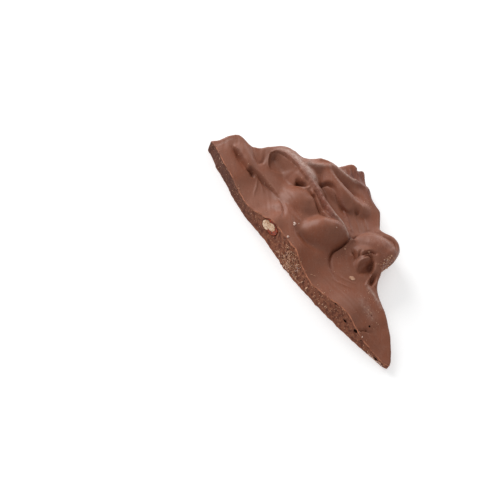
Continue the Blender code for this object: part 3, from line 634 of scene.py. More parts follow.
def brushed(x, y):
    # faint streaks left by the pour, slow swells, and the rough ropes
    way = math.radians(strokes["way"])
    along = x * math.cos(way) + y * math.sin(way)
    across = y * math.cos(way) - x * math.sin(way)
    bend = strokes["bend"] * lumps(x / strokes["bendSize"] + 2.0, y / strokes["bendSize"], 2)
    streak = lumps((across + bend) / strokes["spacing"] + 60.0, along / strokes["length"] + 40.0)
    swell = lumps(x / strokes["swellSize"] + 9.0, y / strokes["swellSize"] + 9.0, 2)
    ropeLength = strokes["ropeStretch"] * strokes["ropeSize"]
    ropeLumps = lumps((across + bend) / strokes["ropeSize"] + 90.0, along / ropeLength)
    dustAndSheen = lumps(x / strokes["dustSize"] + 31.0, y / strokes["dustSize"] + 7.0)
    rough = strokes["ropeHeight"] * strength(ropy, x, y) * ropeLumps
    rough = rough + strokes["dustAndSheen"] * strength(dustAndSheenBands, x, y) * dustAndSheen
    level = (strokes["ledgeSlant"] * x + y) / strokes["ledgeWidth"]
    ledge = lumps(level + 12.0, (x - y) / strokes["ledgeLength"] + 33.0, 2)
    rough = rough + strokes["ledge"] * brokenCorner(x, y) * np.clip(3.0 * ledge, -1.0, 1.0)
    patch = lumps(x / strokes["patchSize"] + 4.0, y / strokes["patchSize"] + 70.0, 2)
    patch = np.clip(1.5 * patch + 0.6, 0.1, 1.0)
    # over the right half the streaks follow the snapped edge
    behind = y - np.interp(x, frontLine[:, 0], frontLine[:, 1])
    drawn = lumps((behind + 0.6 * bend) / strokes["spacing"] + 80.0, x / strokes["length"] + 15.0)
    alongEdge = ramp(x, strokes["edgeFrom"], strokes["edgeFade"])
    alongEdge = alongEdge * np.sqrt(1.0 - ramp(behind, 0.0, strokes["edgeReach"]))
    streak = streak * (1.0 - alongEdge) + strokes["edgeHeight"] * drawn * alongEdge
    return strokes["height"] * patch * streak + strokes["swell"] * swell + rough


# air bubbles and pinholes in the top: x, y, radius, depth
pinholes = [
    (99.7, -1.0, 0.45, 0.9), (96.2, 4.2, 0.3, 0.3), (90.5, 6.0, 0.28, 0.25), (93.0, 2.2, 0.25, 0.2),
    (57.9, 28.6, 0.5, 0.5), (70.5, 12.0, 0.3, 0.2),
]


def selectOnly(piece):
    bpy.ops.object.select_all(action="DESELECT")
    piece.select_set(True)
    bpy.context.view_layer.objects.active = piece


def applyModifier(piece, kind, **settings):
    selectOnly(piece)
    made = piece.modifiers.new(kind.lower(), kind)
    for name, value in settings.items():
        setattr(made, name, value)
    bpy.ops.object.modifier_apply(modifier=made.name)


def makeStirredBlock():
    # a fine grid shaped into the stirred top, with a deep skirt below it
    points = np.array(outline)[:, :2]
    low = points.min(axis=0) - slab["margin"]
    size = points.max(axis=0) + slab["margin"] - low
    cells = np.round(size / slab["cell"]).astype(int)
    bpy.ops.mesh.primitive_grid_add(x_subdivisions=cells[0], y_subdivisions=cells[1], size=1)
    block = bpy.context.object
    block.name = "stirredBlock"
    bpy.ops.object.mode_set(mode="EDIT")
    bpy.ops.transform.resize(value=(size[0] * millimetre, size[1] * millimetre, 1))
    centre = toFrame([[low[0] + size[0] / 2, low[1] + size[1] / 2, 0.0]])[0]
    bpy.ops.transform.translate(value=tuple(centre))
    bpy.ops.object.mode_set(mode="OBJECT")
    points = readPoints(block.data)
    x = points[:, 0].copy()
    y = points[:, 1].copy()
    height, pushX, pushY = stirredTop(x, y)
    drop, inwards = roundedEdge(x, y)
    height = height - drop + brushed(x, y)
    for holeX, holeY, radius, depth in pinholes:
        away = ((x - holeX) ** 2 + (y - holeY) ** 2) / radius**2
        height = height - depth * np.exp(-away)
    fade = ramp(inwards, 0.0, 2.0)  # the outline itself isn't pushed
    writePoints(block.data, np.stack([x + pushX * fade, y + pushY * fade, height], axis=1))
    bpy.ops.object.mode_set(mode="EDIT")
    bpy.ops.mesh.select_all(action="SELECT")
    bpy.ops.mesh.region_to_loop()
    bpy.ops.mesh.extrude_edges_move()
    bpy.ops.transform.resize(value=(1, 1, 0), center_override=(0, 0, 0))
    bpy.ops.transform.translate(value=(0, 0, -slab["skirt"] * millimetre))
    bpy.ops.mesh.edge_face_add()
    bpy.ops.mesh.select_all(action="SELECT")
    bpy.ops.mesh.normals_make_consistent(inside=False)
    bpy.ops.object.mode_set(mode="OBJECT")
    return block


# the snapped and poured sides
sides = {
    "roughness": 0.28,
    "grain": 3.2,
    "grainHeight": 1.6,  # times grain
    "crumble": 0.16,
    "crumbleSize": 0.9,
    "pouredShare": 0.25,  # of the crumble, where the side was poured and not snapped
    "coarse": 0.6,
    "coarseZone": (55.0, 67.0),
    "coarseSize": (1.3, 1.1),
    "flake": 0.16,
    "flakeZone": (72.0, 92.0),
    "flakeSlant": 0.55,
    "flakeSize": (0.8, 4.0),
    "zoneFade": 2.0,
    "undercut": 2.6,  # below the lobe
    "undercutTop": 7.5,
    "undercutCentre": (80.5, 24.0),
    "undercutReach": 9.0,
}

# air holes: x, z, radius, length along the edge, depth
airHoles = [
    (92.3, 4.8, 0.5, 1.7, 1.5), (97.9, 5.0, 0.8, 1.2, 1.8), (85.6, 7.8, 0.34, 1.2, 1.0),
    (110.0, 1.0, 0.5, 2.2, 1.3), (70.3, 3.0, 0.24, 1.2, 0.8), (101.6, 3.6, 0.26, 1.3, 0.8),
    (88.4, 2.6, 0.22, 1.2, 0.7), (76.0, 6.4, 0.2, 1.2, 0.7),
]
topHoles = [(99.3, 1.0, 0.42, 0.9), (96.3, 4.4, 0.2, 0.5)]  # x, y, radius, depth
holes = {"uneven": 0.12, "wavesPerMillimetre": 1.7}

# the almond's pocket in the snapped edge: x and z of its middle, half its breadth and height
pocket = {"centre": (45.5, 7.4), "half": (3.95, 3.15), "depth": 1.1, "rim": (0.92, 0.16)}


def zone(x, span):
    return ramp(x, span[0], sides["zoneFade"]) * ramp(-x, -span[1], sides["zoneFade"])


def leanAt(x, z):
    # how far the snapped face has leaned back at a height
    return np.interp(x, *zip(*leans)) * z / slab["leanHeight"]


def faceAt(x, z):
    # y of the snapped face before its roughness
    return np.interp(x, frontLine[:, 0], frontLine[:, 1]) + leanAt(x, z)


def evenOutline():
    # the outline in equal steps: x, y, softness, way along it, and the direction outwards
    line = smoothLine(outline, 12, closed=True)
    runs = np.hypot(*(np.roll(line, -1, axis=0) - line)[:, :2].T)
    way = np.concatenate([[0.0], np.cumsum(runs)])
    count = round(way[-1] / slab["wallStep"])
    even = np.linspace(0.0, way[-1], count, endpoint=False)
    loop = np.vstack([line, line[:1]])
    x = np.interp(even, way, loop[:, 0])
    y = np.interp(even, way, loop[:, 1])
    softness = np.interp(even, way, loop[:, 2])
    aheadX = np.roll(x, -1) - np.roll(x, 1)
    aheadY = np.roll(y, -1) - np.roll(y, 1)
    reach = np.hypot(aheadX, aheadY)
    return x, y, softness, even, aheadY / reach, -aheadX / reach


def makeSides():
    x, y, softness, even, outX, outY = evenOutline()
    count = len(x)
    bpy.ops.mesh.primitive_circle_add(vertices=count, radius=0.05, fill_type="NGON")
    wall = bpy.context.object
    wall.name = "slabSides"
    writePoints(wall.data, np.stack([x, y, np.zeros(count)], axis=1))
    bpy.ops.object.mode_set(mode="EDIT")
    bpy.ops.mesh.select_all(action="SELECT")
    for _ in range(round(slab["ceiling"] / slab["wallRow"])):
        bpy.ops.mesh.extrude_region_move(
            TRANSFORM_OT_translate={"value": (0, 0, slab["wallRow"] * millimetre)}
        )
    bpy.ops.mesh.select_all(action="SELECT")
    bpy.ops.mesh.normals_make_consistent(inside=False)
    bpy.ops.object.mode_set(mode="OBJECT")

    points = readPoints(wall.data)
    z = np.round(points[:, 2] / slab["wallRow"]).astype(int) * slab["wallRow"]
    # every row keeps the outline's plan, so the nearest outline point is the one below
    index = np.empty(len(points), int)
    batch = 4000
    for start in range(0, len(points), batch):
        part = points[start : start + batch]
        away = (part[:, 0:1] - x) ** 2 + (part[:, 1:2] - y) ** 2
        index[start : start + batch] = away.argmin(axis=1)
    px = x[index]
    py = y[index]
    along = even[index]
    hard = np.clip(1.4 - softness[index], 0.15, 1.0)  # soft edges were poured, hard ones snapped
    front = (py < 0.5) & (outY[index] < 0)
    snapped = np.where(front | (hard > 0.75), 1.0, sides["pouredShare"])
    grainHeight = sides["grainHeight"] * sides["grain"]
    push = sides["roughness"] * hard * lumps(along / sides["grain"], z / grainHeight + 3.0)
    fine = lumps(along / sides["crumbleSize"], z / sides["crumbleSize"] + 11.0)
    push += sides["crumble"] * snapped * fine
    width, height = sides["coarseSize"]
    rubble = lumps(along / width + 50.0, z / height + 20.0)
    push += sides["coarse"] * zone(px, sides["coarseZone"]) * front * rubble
    width, height = sides["flakeSize"]
    slanted = (along - sides["flakeSlant"] * z) / width
    layers = lumps(slanted + 30.0, (z + 0.3 * along) / height)
    push += sides["flake"] * zone(px, sides["flakeZone"]) * front * layers
    away = (px - pocket["centre"][0]) ** 2 / pocket["half"][0] ** 2
    away = np.sqrt(away + (z - pocket["centre"][1]) ** 2 / pocket["half"][1] ** 2)
    push -= pocket["depth"] * front * (1.0 - ramp(away, *pocket["rim"]))
    away = np.hypot(px - sides["undercutCentre"][0], py - sides["undercutCentre"][1])
    below = (1.0 - ramp(z, 0.0, sides["undercutTop"])) ** 1.5
    push -= sides["undercut"] * below * np.exp(-((away / sides["undercutReach"]) ** 4))
    points[:, 0] = px + outX[index] * push
    points[:, 1] = py + outY[index] * push + leanAt(px, z) * front
    points[:, 2] = z
    writePoints(wall.data, points)
    return wall


def giveCoats(piece, used):
    # bodies that are cut by each other carry the same three finishes
    for coat in (pouredChocolate, snappedChocolate, shadedHoleChocolate):
        piece.data.materials.append(coat)
    piece.data.polygons.foreach_set("material_index", [used] * len(piece.data.polygons))


def makeHoles():
    # every air hole as a rough ball in one mesh, cut out of the slab together
    balls = []
    for x, z, radius, length, depth in airHoles:
        balls.append(((x, faceAt(x, z), z), (radius * length, depth, radius)))
    for x, y, radius, depth in topHoles:
        top = stirredTop(np.array([x]), np.array([y]))[0][0]
        balls.append(((x, y, top), (radius, radius, depth)))
    for place, size in balls:
        bpy.ops.mesh.primitive_ico_sphere_add(
            subdivisions=3, radius=millimetre, location=tuple(toFrame([place])[0]), scale=size
        )
        cutter = bpy.context.object
        if cutter.mode == "OBJECT":
            bpy.ops.object.mode_set(mode="EDIT")
    bpy.ops.object.mode_set(mode="OBJECT")
    bpy.ops.object.transform_apply(location=True, rotation=True, scale=True)
    points = readPoints(cutter.data)
    x, _, z = points.T * holes["wavesPerMillimetre"]
    wobble = np.stack([lumps(x + start, z + start, 2) for start in (1.0, 23.0, 51.0)], axis=1)
    writePoints(cutter.data, points + holes["uneven"] * wobble)
    return cutter


def makeChocolate():
    chocolate = makeStirredBlock()
    wall = makeSides()
    cutter = makeHoles()
    for used, piece in enumerate((chocolate, wall, cutter)):
        giveCoats(piece, used)
    for operation, other in (("INTERSECT", wall), ("DIFFERENCE", cutter)):
        applyModifier(chocolate, "BOOLEAN", operation=operation, solver="MANIFOLD", object=other)
        bpy.data.objects.remove(other)
    chocolate.name = "chocolateSlab"
    selectOnly(chocolate)
    bpy.ops.object.mode_set(mode="EDIT")
    bpy.ops.mesh.select_all(action="SELECT")
    bpy.ops.mesh.remove_doubles(threshold=slab["weld"] * millimetre)
    bpy.ops.object.mode_set(mode="OBJECT")
    bpy.ops.object.shade_smooth_by_angle(angle=math.radians(slab["sharpAngle"]))
    return chocolate


def addMask(mesh, name, values):
    mask = mesh.attributes.new(name, "FLOAT", "POINT")
    mask.data.foreach_set("value", np.asarray(values, np.float32))


hollows = {"reach": 1.8, "depth": 1.6, "samples": 8}  # what counts as a hollow in the top


def markChocolate(chocolate):
    # masks that the chocolate's finishes read
    mesh = chocolate.data
    x, y, z = readPoints(mesh).T
    height, _, _ = stirredTop(x, y)
    around = np.zeros(len(x))
    for step in range(hollows["samples"]):
        turn = step * 2 * math.pi / hollows["samples"]
        aside = hollows["reach"] * math.cos(turn)
        behind = hollows["reach"] * math.sin(turn)
        around += stirredTop(x + aside, y + behind)[0] / hollows["samples"]
    addMask(mesh, "hollow", np.clip((around - height) / hollows["depth"], -1.0, 1.0))
    addMask(mesh, "belowLip", np.clip(height - z, 0.0, 20.0))
    addMask(mesh, "front", 1.0 - ramp(y, 0.0, 2.0))
    addMask(mesh, "dustAndSheenBands", strength(dustAndSheenBands, x, y))
    addMask(mesh, "ropy", strength(ropy, x, y))
    addMask(mesh, "broken", brokenCorner(x, y))
    addMask(mesh, "rise", z)
    addMask(mesh, "alongEdge", x)


# finishes
class Number:
    # a number on a socket, so that masks are written as plain sums
    def __init__(self, maker, socket):
        self.maker = maker
        self.socket = socket

    def make(self, operation, first, second):
        made = self.maker.node("ShaderNodeMath", {"operation": operation}, {0: first, 1: second})
        return Number(self.maker, made[0])

    def __add__(self, other):
        return self.make("ADD", self, other)

    def __sub__(self, other):
        return self.make("SUBTRACT", self, other)

    def __rsub__(self, other):
        return self.make("SUBTRACT", other, self)

    def __mul__(self, other):
        return self.make("MULTIPLY", self, other)

    __radd__ = __add__
    __rmul__ = __mul__

    def step(self, low, high):
        # 0 below low, 1 above high, smooth between; low may be the larger
        settings = {"interpolation_type": "SMOOTHSTEP"}
        given = {"Value": self, "From Min": low, "From Max": high}
        return Number(self.maker, self.maker.node("ShaderNodeMapRange", settings, given)[0])


class Finish:
    # a material whose nodes are made by short calls
    def __init__(self, name, roughness=0.5, **constants):
        self.material = bpy.data.materials.new(name)
        self.material.use_nodes = True
        self.tree = self.material.node_tree
        self.shader = self.tree.nodes["Principled BSDF"]
        self.shader.inputs["Roughness"].default_value = roughness
        for socket, value in constants.items():
            self.shader.inputs[socket.replace("_", " ")].default_value = value
        self.place = self.node("ShaderNodeTexCoord")["Object"]

    def node(self, kind, settings=None, sockets=None):
        made = self.tree.nodes.new(kind)
        for name, value in (settings or {}).items():
            setattr(made, name, value)
        for name, value in (sockets or {}).items():
            if isinstance(value, Number):
                value = value.socket
            if isinstance(value, bpy.types.NodeSocket):
                self.tree.links.new(value, made.inputs[name])
            else:
                made.inputs[name].default_value = value
        return made.outputs

    def noise(self, size, detail=4.0, roughness=0.55, stretch=(1, 1, 1), turn=0.0):
        # size is one lump in millimetres, stretched along axes turned about z
        given = {"Vector": self.place, "Rotation": (0.0, 0.0, math.radians(turn))}
        given["Scale"] = tuple(size * millimetre * s for s in stretch)
        moved = self.node("ShaderNodeMapping", {"vector_type": "TEXTURE"}, given)["Vector"]
        given = {"Vector": moved, "Scale": 1.0, "Detail": detail, "Roughness": roughness}
        return Number(self, self.node("ShaderNodeTexNoise", None, given)[0])

    def cells(self, size):
        given = {"Vector": self.place, "Scale": 1000.0 / size, "Randomness": 1.0}
        return Number(self, self.node("ShaderNodeTexVoronoi", {"feature": "F1"}, given)[0])

    def mask(self, name):
        made = self.node("ShaderNodeAttribute", {"attribute_name": name})
        return Number(self, made["Fac"])

    def mix(self, factor, first, second):
        given = {0: factor, 6: first, 7: second}
        return self.node("ShaderNodeMix", {"data_type": "RGBA"}, given)[2]

    def feed(self, socket, value):
        if isinstance(value, Number):
            value = value.socket
        self.tree.links.new(value, self.shader.inputs[socket])

    def bump(self, height, distance):
        given = {"Height": height, "Distance": distance * millimetre, "Strength": 1.0}
        self.feed("Normal", self.node("ShaderNodeBump", None, given)["Normal"])


def colour(red, green, blue):
    # from the 0 to 255 of a picture
    linear = []
    for part in (red, green, blue):
        part = part / 255
        linear.append(part / 12.92 if part <= 0.04045 else ((part + 0.055) / 1.055) ** 2.4)
    return (*linear, 1.0)


milk = {
    "body": colour(138, 86, 65),
    "deep": colour(100, 53, 37),
    "light": colour(148, 101, 82),
    "warm": colour(141, 80, 55),
    "rope": colour(128, 72, 57),
    # pale dust, also used as the painted sheen on slopes and crests that face back
    "dustAndSheen": colour(190, 158, 146),
    "fleck": colour(196, 138, 108),
    "broken": colour(112, 62, 49),
    "roughness": 0.5,
    "bump": 0.055,
}


def makePouredChocolate():
    finish = Finish("pouredMilkChocolate", Specular_IOR_Level=0.38)
    hollow = finish.mask("hollow")
    broad = finish.noise(9.0, 3.0)
    small = finish.noise(1.4, 4.0)
    fine = finish.noise(0.45, 3.0)
    streak = finish.noise(0.7, 3.0, 0.5, stretch=(14, 1, 1), turn=strokes["way"])
    body = finish.mix(broad.step(0.35, 0.7), milk["body"], milk["warm"])
    body = finish.mix(streak.step(0.5, 0.7) * broad.step(0.42, 0.62) * 0.4, body, milk["light"])
    # painted highlight: places higher than their surroundings are mixed a little lighter
    body = finish.mix((hollow * -1).step(0.1, 0.9) * 0.25, body, milk["light"])
    # painted shade: places lower than their surroundings, the hollows and creases, are darkened
    body = finish.mix(hollow.step(0.2, 1.0) * 0.6, body, milk["deep"])
    body = finish.mix(small.step(0.54, 0.7) * 0.3, body, milk["light"])
    body = finish.mix(fine.step(0.44, 0.34) * 0.3, body, milk["deep"])
    ropy = finish.mask("ropy")
    body = finish.mix(ropy * 0.6, body, milk["rope"])
    body = finish.mix(ropy * fine.step(0.56, 0.68) * 0.35, body, milk["dustAndSheen"])
    # pale dust and a painted sheen: a painted highlight on the slopes and crests that face back
    dustAndSheenShare = finish.mask("dustAndSheenBands") * (0.35 + 0.9 * (small * 0.5 + fine * 0.5).step(0.42, 0.6))
    body = finish.mix(dustAndSheenShare * 0.8, body, milk["dustAndSheen"])
    broken = finish.mask("broken")
    layers = finish.noise(0.5, 3.0, 0.6, stretch=(9, 1, 1), turn=strokes["way"])
    body = finish.mix(broken * (0.5 + 0.5 * layers.step(0.45, 0.6)), body, milk["broken"])
    specks = finish.cells(1.7)
    scatter = finish.noise(7.0, 2.0).step(0.5, 0.62)
    body = finish.mix(specks.step(0.13, 0.06) * scatter * 0.7, body, milk["fleck"])
    finish.feed("Base Color", body)
    finish.feed("Roughness", milk["roughness"] + 0.1 * finish.noise(3.0, 3.0) + 0.1 * small - 0.1)
    finish.bump(fine * 0.35 + small * 0.4 + streak * 0.4, milk["bump"])
    return finish.material


snap = {
    "body": colour(138, 83, 60),
    "dark": colour(98, 52, 37),
    # dark brown for a painted shadow over the left part of the snapped face
    "left": colour(78, 42, 31),
    "crumb": colour(204, 152, 116),
    # painted highlight along the top edge of the snapped face
    "lipHighlight": colour(204, 132, 100),
    "foot": colour(176, 120, 96),
    "roughness": 0.7,
    "bump": 0.22,
}


def makeSnappedChocolate():
    finish = Finish("snappedMilkChocolate", Specular_IOR_Level=0.2)
    lumpy = finish.noise(1.5, 5.0, 0.6)
    grains = finish.noise(0.6, 4.0, 0.7)
    belowLip = finish.mask("belowLip")
    rise = finish.mask("rise")
    body = finish.mix(lumpy.step(0.36, 0.6), snap["dark"], snap["body"])
    alongEdge = finish.mask("alongEdge")
    # painted shadow: the snapped face is darkened towards the blunt end, as if shaded by something beside it
    body = finish.mix(alongEdge.step(46.0, 20.0) * 0.8, body, snap["left"])
    body = finish.mix(grains.step(0.46, 0.34) * 0.6, body, snap["dark"])
    rubble = alongEdge.step(53.0, 57.0) * alongEdge.step(69.0, 64.0)
    flecks = grains.step(0.55, 0.68) * (0.5 + 0.4 * rubble) * (0.3 + 0.7 * finish.mask("front"))
    body = finish.mix(flecks, body, snap["crumb"])
    body = finish.mix(rise.step(0.55, 0.1) * 0.5, body, snap["foot"])
    broken = finish.noise(2.6, 3.0).step(0.36, 0.62)
    # painted highlight: a light orange line just below the top edge, broken up by noise
    body = finish.mix(belowLip.step(0.8, 0.3) * (0.2 + 0.6 * broken), body, snap["lipHighlight"])
    finish.feed("Base Color", body)
    finish.feed("Roughness", snap["roughness"] + 0.2 * grains - 0.1)
    finish.bump(lumpy * 0.5 + grains * 0.5, snap["bump"])
    return finish.material


def makeShadedHoleChocolate():
    # painted shade: the inside of every air hole is coloured nearly black brown
    finish = Finish("shadedHoleChocolate", 0.8, Specular_IOR_Level=0.15)
    grains = finish.noise(0.5, 2.0)
    body = finish.mix(grains.step(0.4, 0.6), colour(44, 22, 16), colour(72, 38, 26))
    finish.feed("Base Color", body)
    return finish.material


shadedHoleChocolate = makeShadedHoleChocolate()
pouredChocolate = makePouredChocolate()
snappedChocolate = makeSnappedChocolate()
chocolate = makeChocolate()
markChocolate(chocolate)
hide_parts("chocolate")
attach(chocolate, "root")
print("chocolate slab:", sum(len(f.vertices) - 2 for f in chocolate.data.polygons), "triangles")


# the almond in the snapped edge
almond = {
    "back": 8.6,  # from its middle to its end inside the chocolate
    "inwards": 0.6,  # how far behind the face its middle lies
    "skin": dict(centre=(45.5, 7.38), half=(3.7, 2.92), sunk=0.5, rim=0.3, rough=0.12),
    "leftHalf": dict(centre=(43.6, 6.8), half=(1.87, 2.3), sunk=-0.05, rough=0.25),
    "rightHalf": dict(centre=(46.0, 7.75), half=(1.7, 1.75), sunk=0.15, rough=0.25),
    "split": ((44.6, 9.2), (45.2, 5.2)),
    "gap": 0.14,
    "grain": 0.9,
    "sharpAngle": 40,
}


def makeCutNut(name, part, side):
    # a long body with its pole towards the snapped face and its end cut flat there; side is
    # -1 or 1 for a half of the kernel and 0 for the skin
    bpy.ops.mesh.primitive_uv_sphere_add(segments=56, ring_count=40, radius=1)
    piece = bpy.context.object
    piece.name = name
    width, height = part["half"]
    x, z = part["centre"]
    bpy.ops.object.mode_set(mode="EDIT")
    bpy.ops.transform.rotate(value=math.pi / 2, orient_axis="X")
    bpy.ops.transform.resize(value=(width * millimetre, almond["back"] * millimetre, height * millimetre))
    place = toFrame([[x, float(faceAt(x, z)) + almond["inwards"], z]])[0]
    bpy.ops.transform.translate(value=tuple(place))
    bpy.ops.object.mode_set(mode="OBJECT")
    points = readPoints(piece.data)
    px, py, pz = points.T.copy()
    if side:
        # the half stops at the split between the two halves of the kernel
        (topX, topZ), (lowX, lowZ) = almond["split"]
        reach = math.hypot(lowX - topX, lowZ - topZ)
        acrossX = -(lowZ - topZ) / reach
        acrossZ = (lowX - topX) / reach
        beyond = (px - topX) * acrossX + (pz - topZ) * acrossZ
        excess = np.clip(side * beyond + almond["gap"] / 2, None, 0.0) * side
        px -= excess * acrossX
        pz -= excess * acrossZ
    spread = np.hypot((px - x) / width, (pz - z) / height)
    grain = lumps(px / almond["grain"] + 3.0 * side, pz / almond["grain"] + 40.0)
    cut = faceAt(px, pz) + part["sunk"] + part["rough"] * grain
    # the skin's rim stands out on the right
    cut -= part.get("rim", 0.0) * ramp(spread, 0.86, 0.1) * ramp(px, x - 0.6, 1.5)
    py = np.maximum(py, cut)
    writePoints(piece.data, np.stack([px, py, pz], axis=1))
    selectOnly(piece)
    bpy.ops.object.shade_smooth_by_angle(angle=math.radians(almond["sharpAngle"]))
    return piece


kernel = {
    "cream": colour(244, 214, 184),
    "tan": colour(218, 176, 142),
    "shade": colour(176, 120, 86),
    "skin": colour(182, 68, 22),
    "skinDark": colour(88, 28, 12),
}


def makeKernelFinish():
    finish = Finish("almondKernel", Specular_IOR_Level=0.3)
    broad = finish.noise(1.8, 3.0)
    fine = finish.noise(0.4, 3.0)
    body = finish.mix(broad.step(0.38, 0.62), kernel["cream"], kernel["tan"])
    smudge = finish.noise(0.9, 3.0).step(0.56, 0.64)
    body = finish.mix(smudge * 0.7, body, kernel["shade"])
    body = finish.mix(fine.step(0.55, 0.7) * 0.6, body, kernel["shade"])
    finish.feed("Base Color", body)
    finish.feed("Roughness", 0.5 + 0.2 * fine)
    finish.bump(fine + smudge * -0.5, 0.2)
    return finish.material


def makeSkinFinish():
    finish = Finish("almondSkin", Specular_IOR_Level=0.45)
    veins = finish.noise(0.5, 4.0, 0.6, stretch=(1, 8, 1))
    broad = finish.noise(2.4, 2.0)
    body = finish.mix(veins.step(0.4, 0.65), kernel["skin"], kernel["skinDark"])
    body = finish.mix(broad.step(0.45, 0.6) * 0.6, body, kernel["skinDark"])
    finish.feed("Base Color", body)
    finish.feed("Roughness", 0.35 + 0.25 * broad)
    finish.bump(veins, 0.08)
    return finish.material


kernelFinish = makeKernelFinish()
skinFinish = makeSkinFinish()
for name, part, side, coat in (
    ("almondSkin", almond["skin"], 0, skinFinish),
    ("kernelLeft", almond["leftHalf"], -1, kernelFinish),
    ("kernelRight", almond["rightHalf"], 1, kernelFinish),
):
    piece = makeCutNut(name, part, side)
    piece.data.materials.append(coat)
    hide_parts("nut")
    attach(piece, "root")
print("almond made")


# crumbs, flakes and specks: a size is a radius, and a middle is where a bunch lies thickest
# and how far it spreads
crumbs = {
    "seed": 11,
    "size": (0.12, 0.27), "count": 190, "along": (2.0, 112.0), "rise": (0.5, 9.5),
    "coarseSize": (0.32, 0.8), "coarseCount": 170, "coarseMiddle": (60.8, 3.0),
    "coarseAlong": (54.0, 68.0), "coarseRise": (1.2, 8.6),
    "tipSize": (0.12, 0.3), "tipCount": 34, "tipAlong": (104.0, 113.4), "tipRise": (0.15, 1.6),
    "lipSize": (0.12, 0.28), "lipCount": 26, "lipAlong": (4.0, 108.0), "lipBehind": (0.3, 1.2),
    "lipHeight": 8.0,
    "lobeSize": (0.22, 0.46), "lobeCount": 44, "lobeBehind": (17.5, 25.5), "lobeRise": (4.5, 9.5),
    "lobeAlong": (80.6, 82.6), "lobeMiddle": (23.4, 1.7),
    "speckSize": (0.1, 0.2),
    "flakeSize": (0.4, 0.8), "flakeCount": 16, "flakeAlong": (66.0, 92.0), "flakeRise": (1.2, 6.5),
    "flakeTurn": (0.0, 0.5), "longFlakeTurn": (-0.1, 0.1),
    "jitter": 0.05,
}
# flat specks: x, y, radius, flatness
tanSpecks = [
    (79.9, 7.5, 1.35, 0.16), (68.4, 13.1, 0.5, 0.5), (74.8, 19.4, 0.55, 0.5), (67.6, 14.0, 0.3, 0.6),
]
# short strokes on the top: x, y, length
strokeChips = [
    (70.6, -5.3, 1.1), (71.6, -4.6, 1.3), (67.9, 3.4, 0.5), (69.6, 8.3, 0.5), (83.0, 1.0, 0.6),
]
# long flakes on the snapped face: x, z, length
flakes = [
    (66.5, 2.2, 1.9), (69.7, 2.8, 2.0), (72.7, 2.7, 2.2), (76.9, 2.4, 2.0), (80.3, 1.9, 1.9),
    (81.6, 3.0, 1.8), (82.9, 3.1, 1.5), (85.5, 3.3, 1.6), (8.7, 5.7, 1.1), (10.4, 5.2, 1.0),
    (11.6, 6.2, 0.9),
]
# patches of specks on the top: x, y, reach, count
patches = [
    (89.5, 9.0, 2.6, 26), (94.5, 5.5, 2.8, 24), (55.5, 35.5, 3.4, 16), (52.5, 30.5, 3.5, 8),
    (74.5, 25.5, 4.0, 12), (100.5, 2.0, 3.0, 8),
]
draw = random.Random(crumbs["seed"])
outside = {"front": -30.0, "right": 100.0, "above": 30.0}  # where lines onto the slab start


def between(limits):
    return draw.uniform(*limits)


def anyTurn():
    return draw.uniform(0, 3.1)


def landOn(origin, way):
    # where a straight line from outside meets the slab
    start = Vector(toFrame([origin])[0])
    found, place, _, _ = chocolate.ray_cast(start, Vector(way))
    return place if found else None


def onFace(x, z):
    return landOn((x, outside["front"], z), (0, 1, 0))


def onTop(x, y):
    return landOn((x, y, outside["above"]), (0, 0, -1))


def addLump(place, radius, scale=(1.0, 0.8, 0.7), turn=None):
    if place is None:
        return
    if turn is None:
        turn = (anyTurn(), anyTurn(), anyTurn())
    bpy.ops.mesh.primitive_ico_sphere_add(
        subdivisions=1, radius=radius * millimetre, location=tuple(place), rotation=turn, scale=scale
    )


def startLumps(name):
    # the rest is added in edit mode, so that one kind of crumb is one piece
    addLump(onFace(60, 4), 0.2, (1, 1, 1), (0, 0, 0))
    piece = bpy.context.object
    piece.name = name
    bpy.ops.object.mode_set(mode="EDIT")
    return piece


def finishLumps(piece, coat):
    bpy.ops.object.mode_set(mode="OBJECT")
    selectOnly(piece)
    bpy.ops.object.transform_apply(location=True, rotation=True, scale=True)
    points = readPoints(piece.data)
    jitter = np.random.default_rng(5).uniform(-1.0, 1.0, points.shape) * crumbs["jitter"]
    writePoints(piece.data, points + jitter)
    piece.data.materials.append(coat)
    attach(piece, "root")


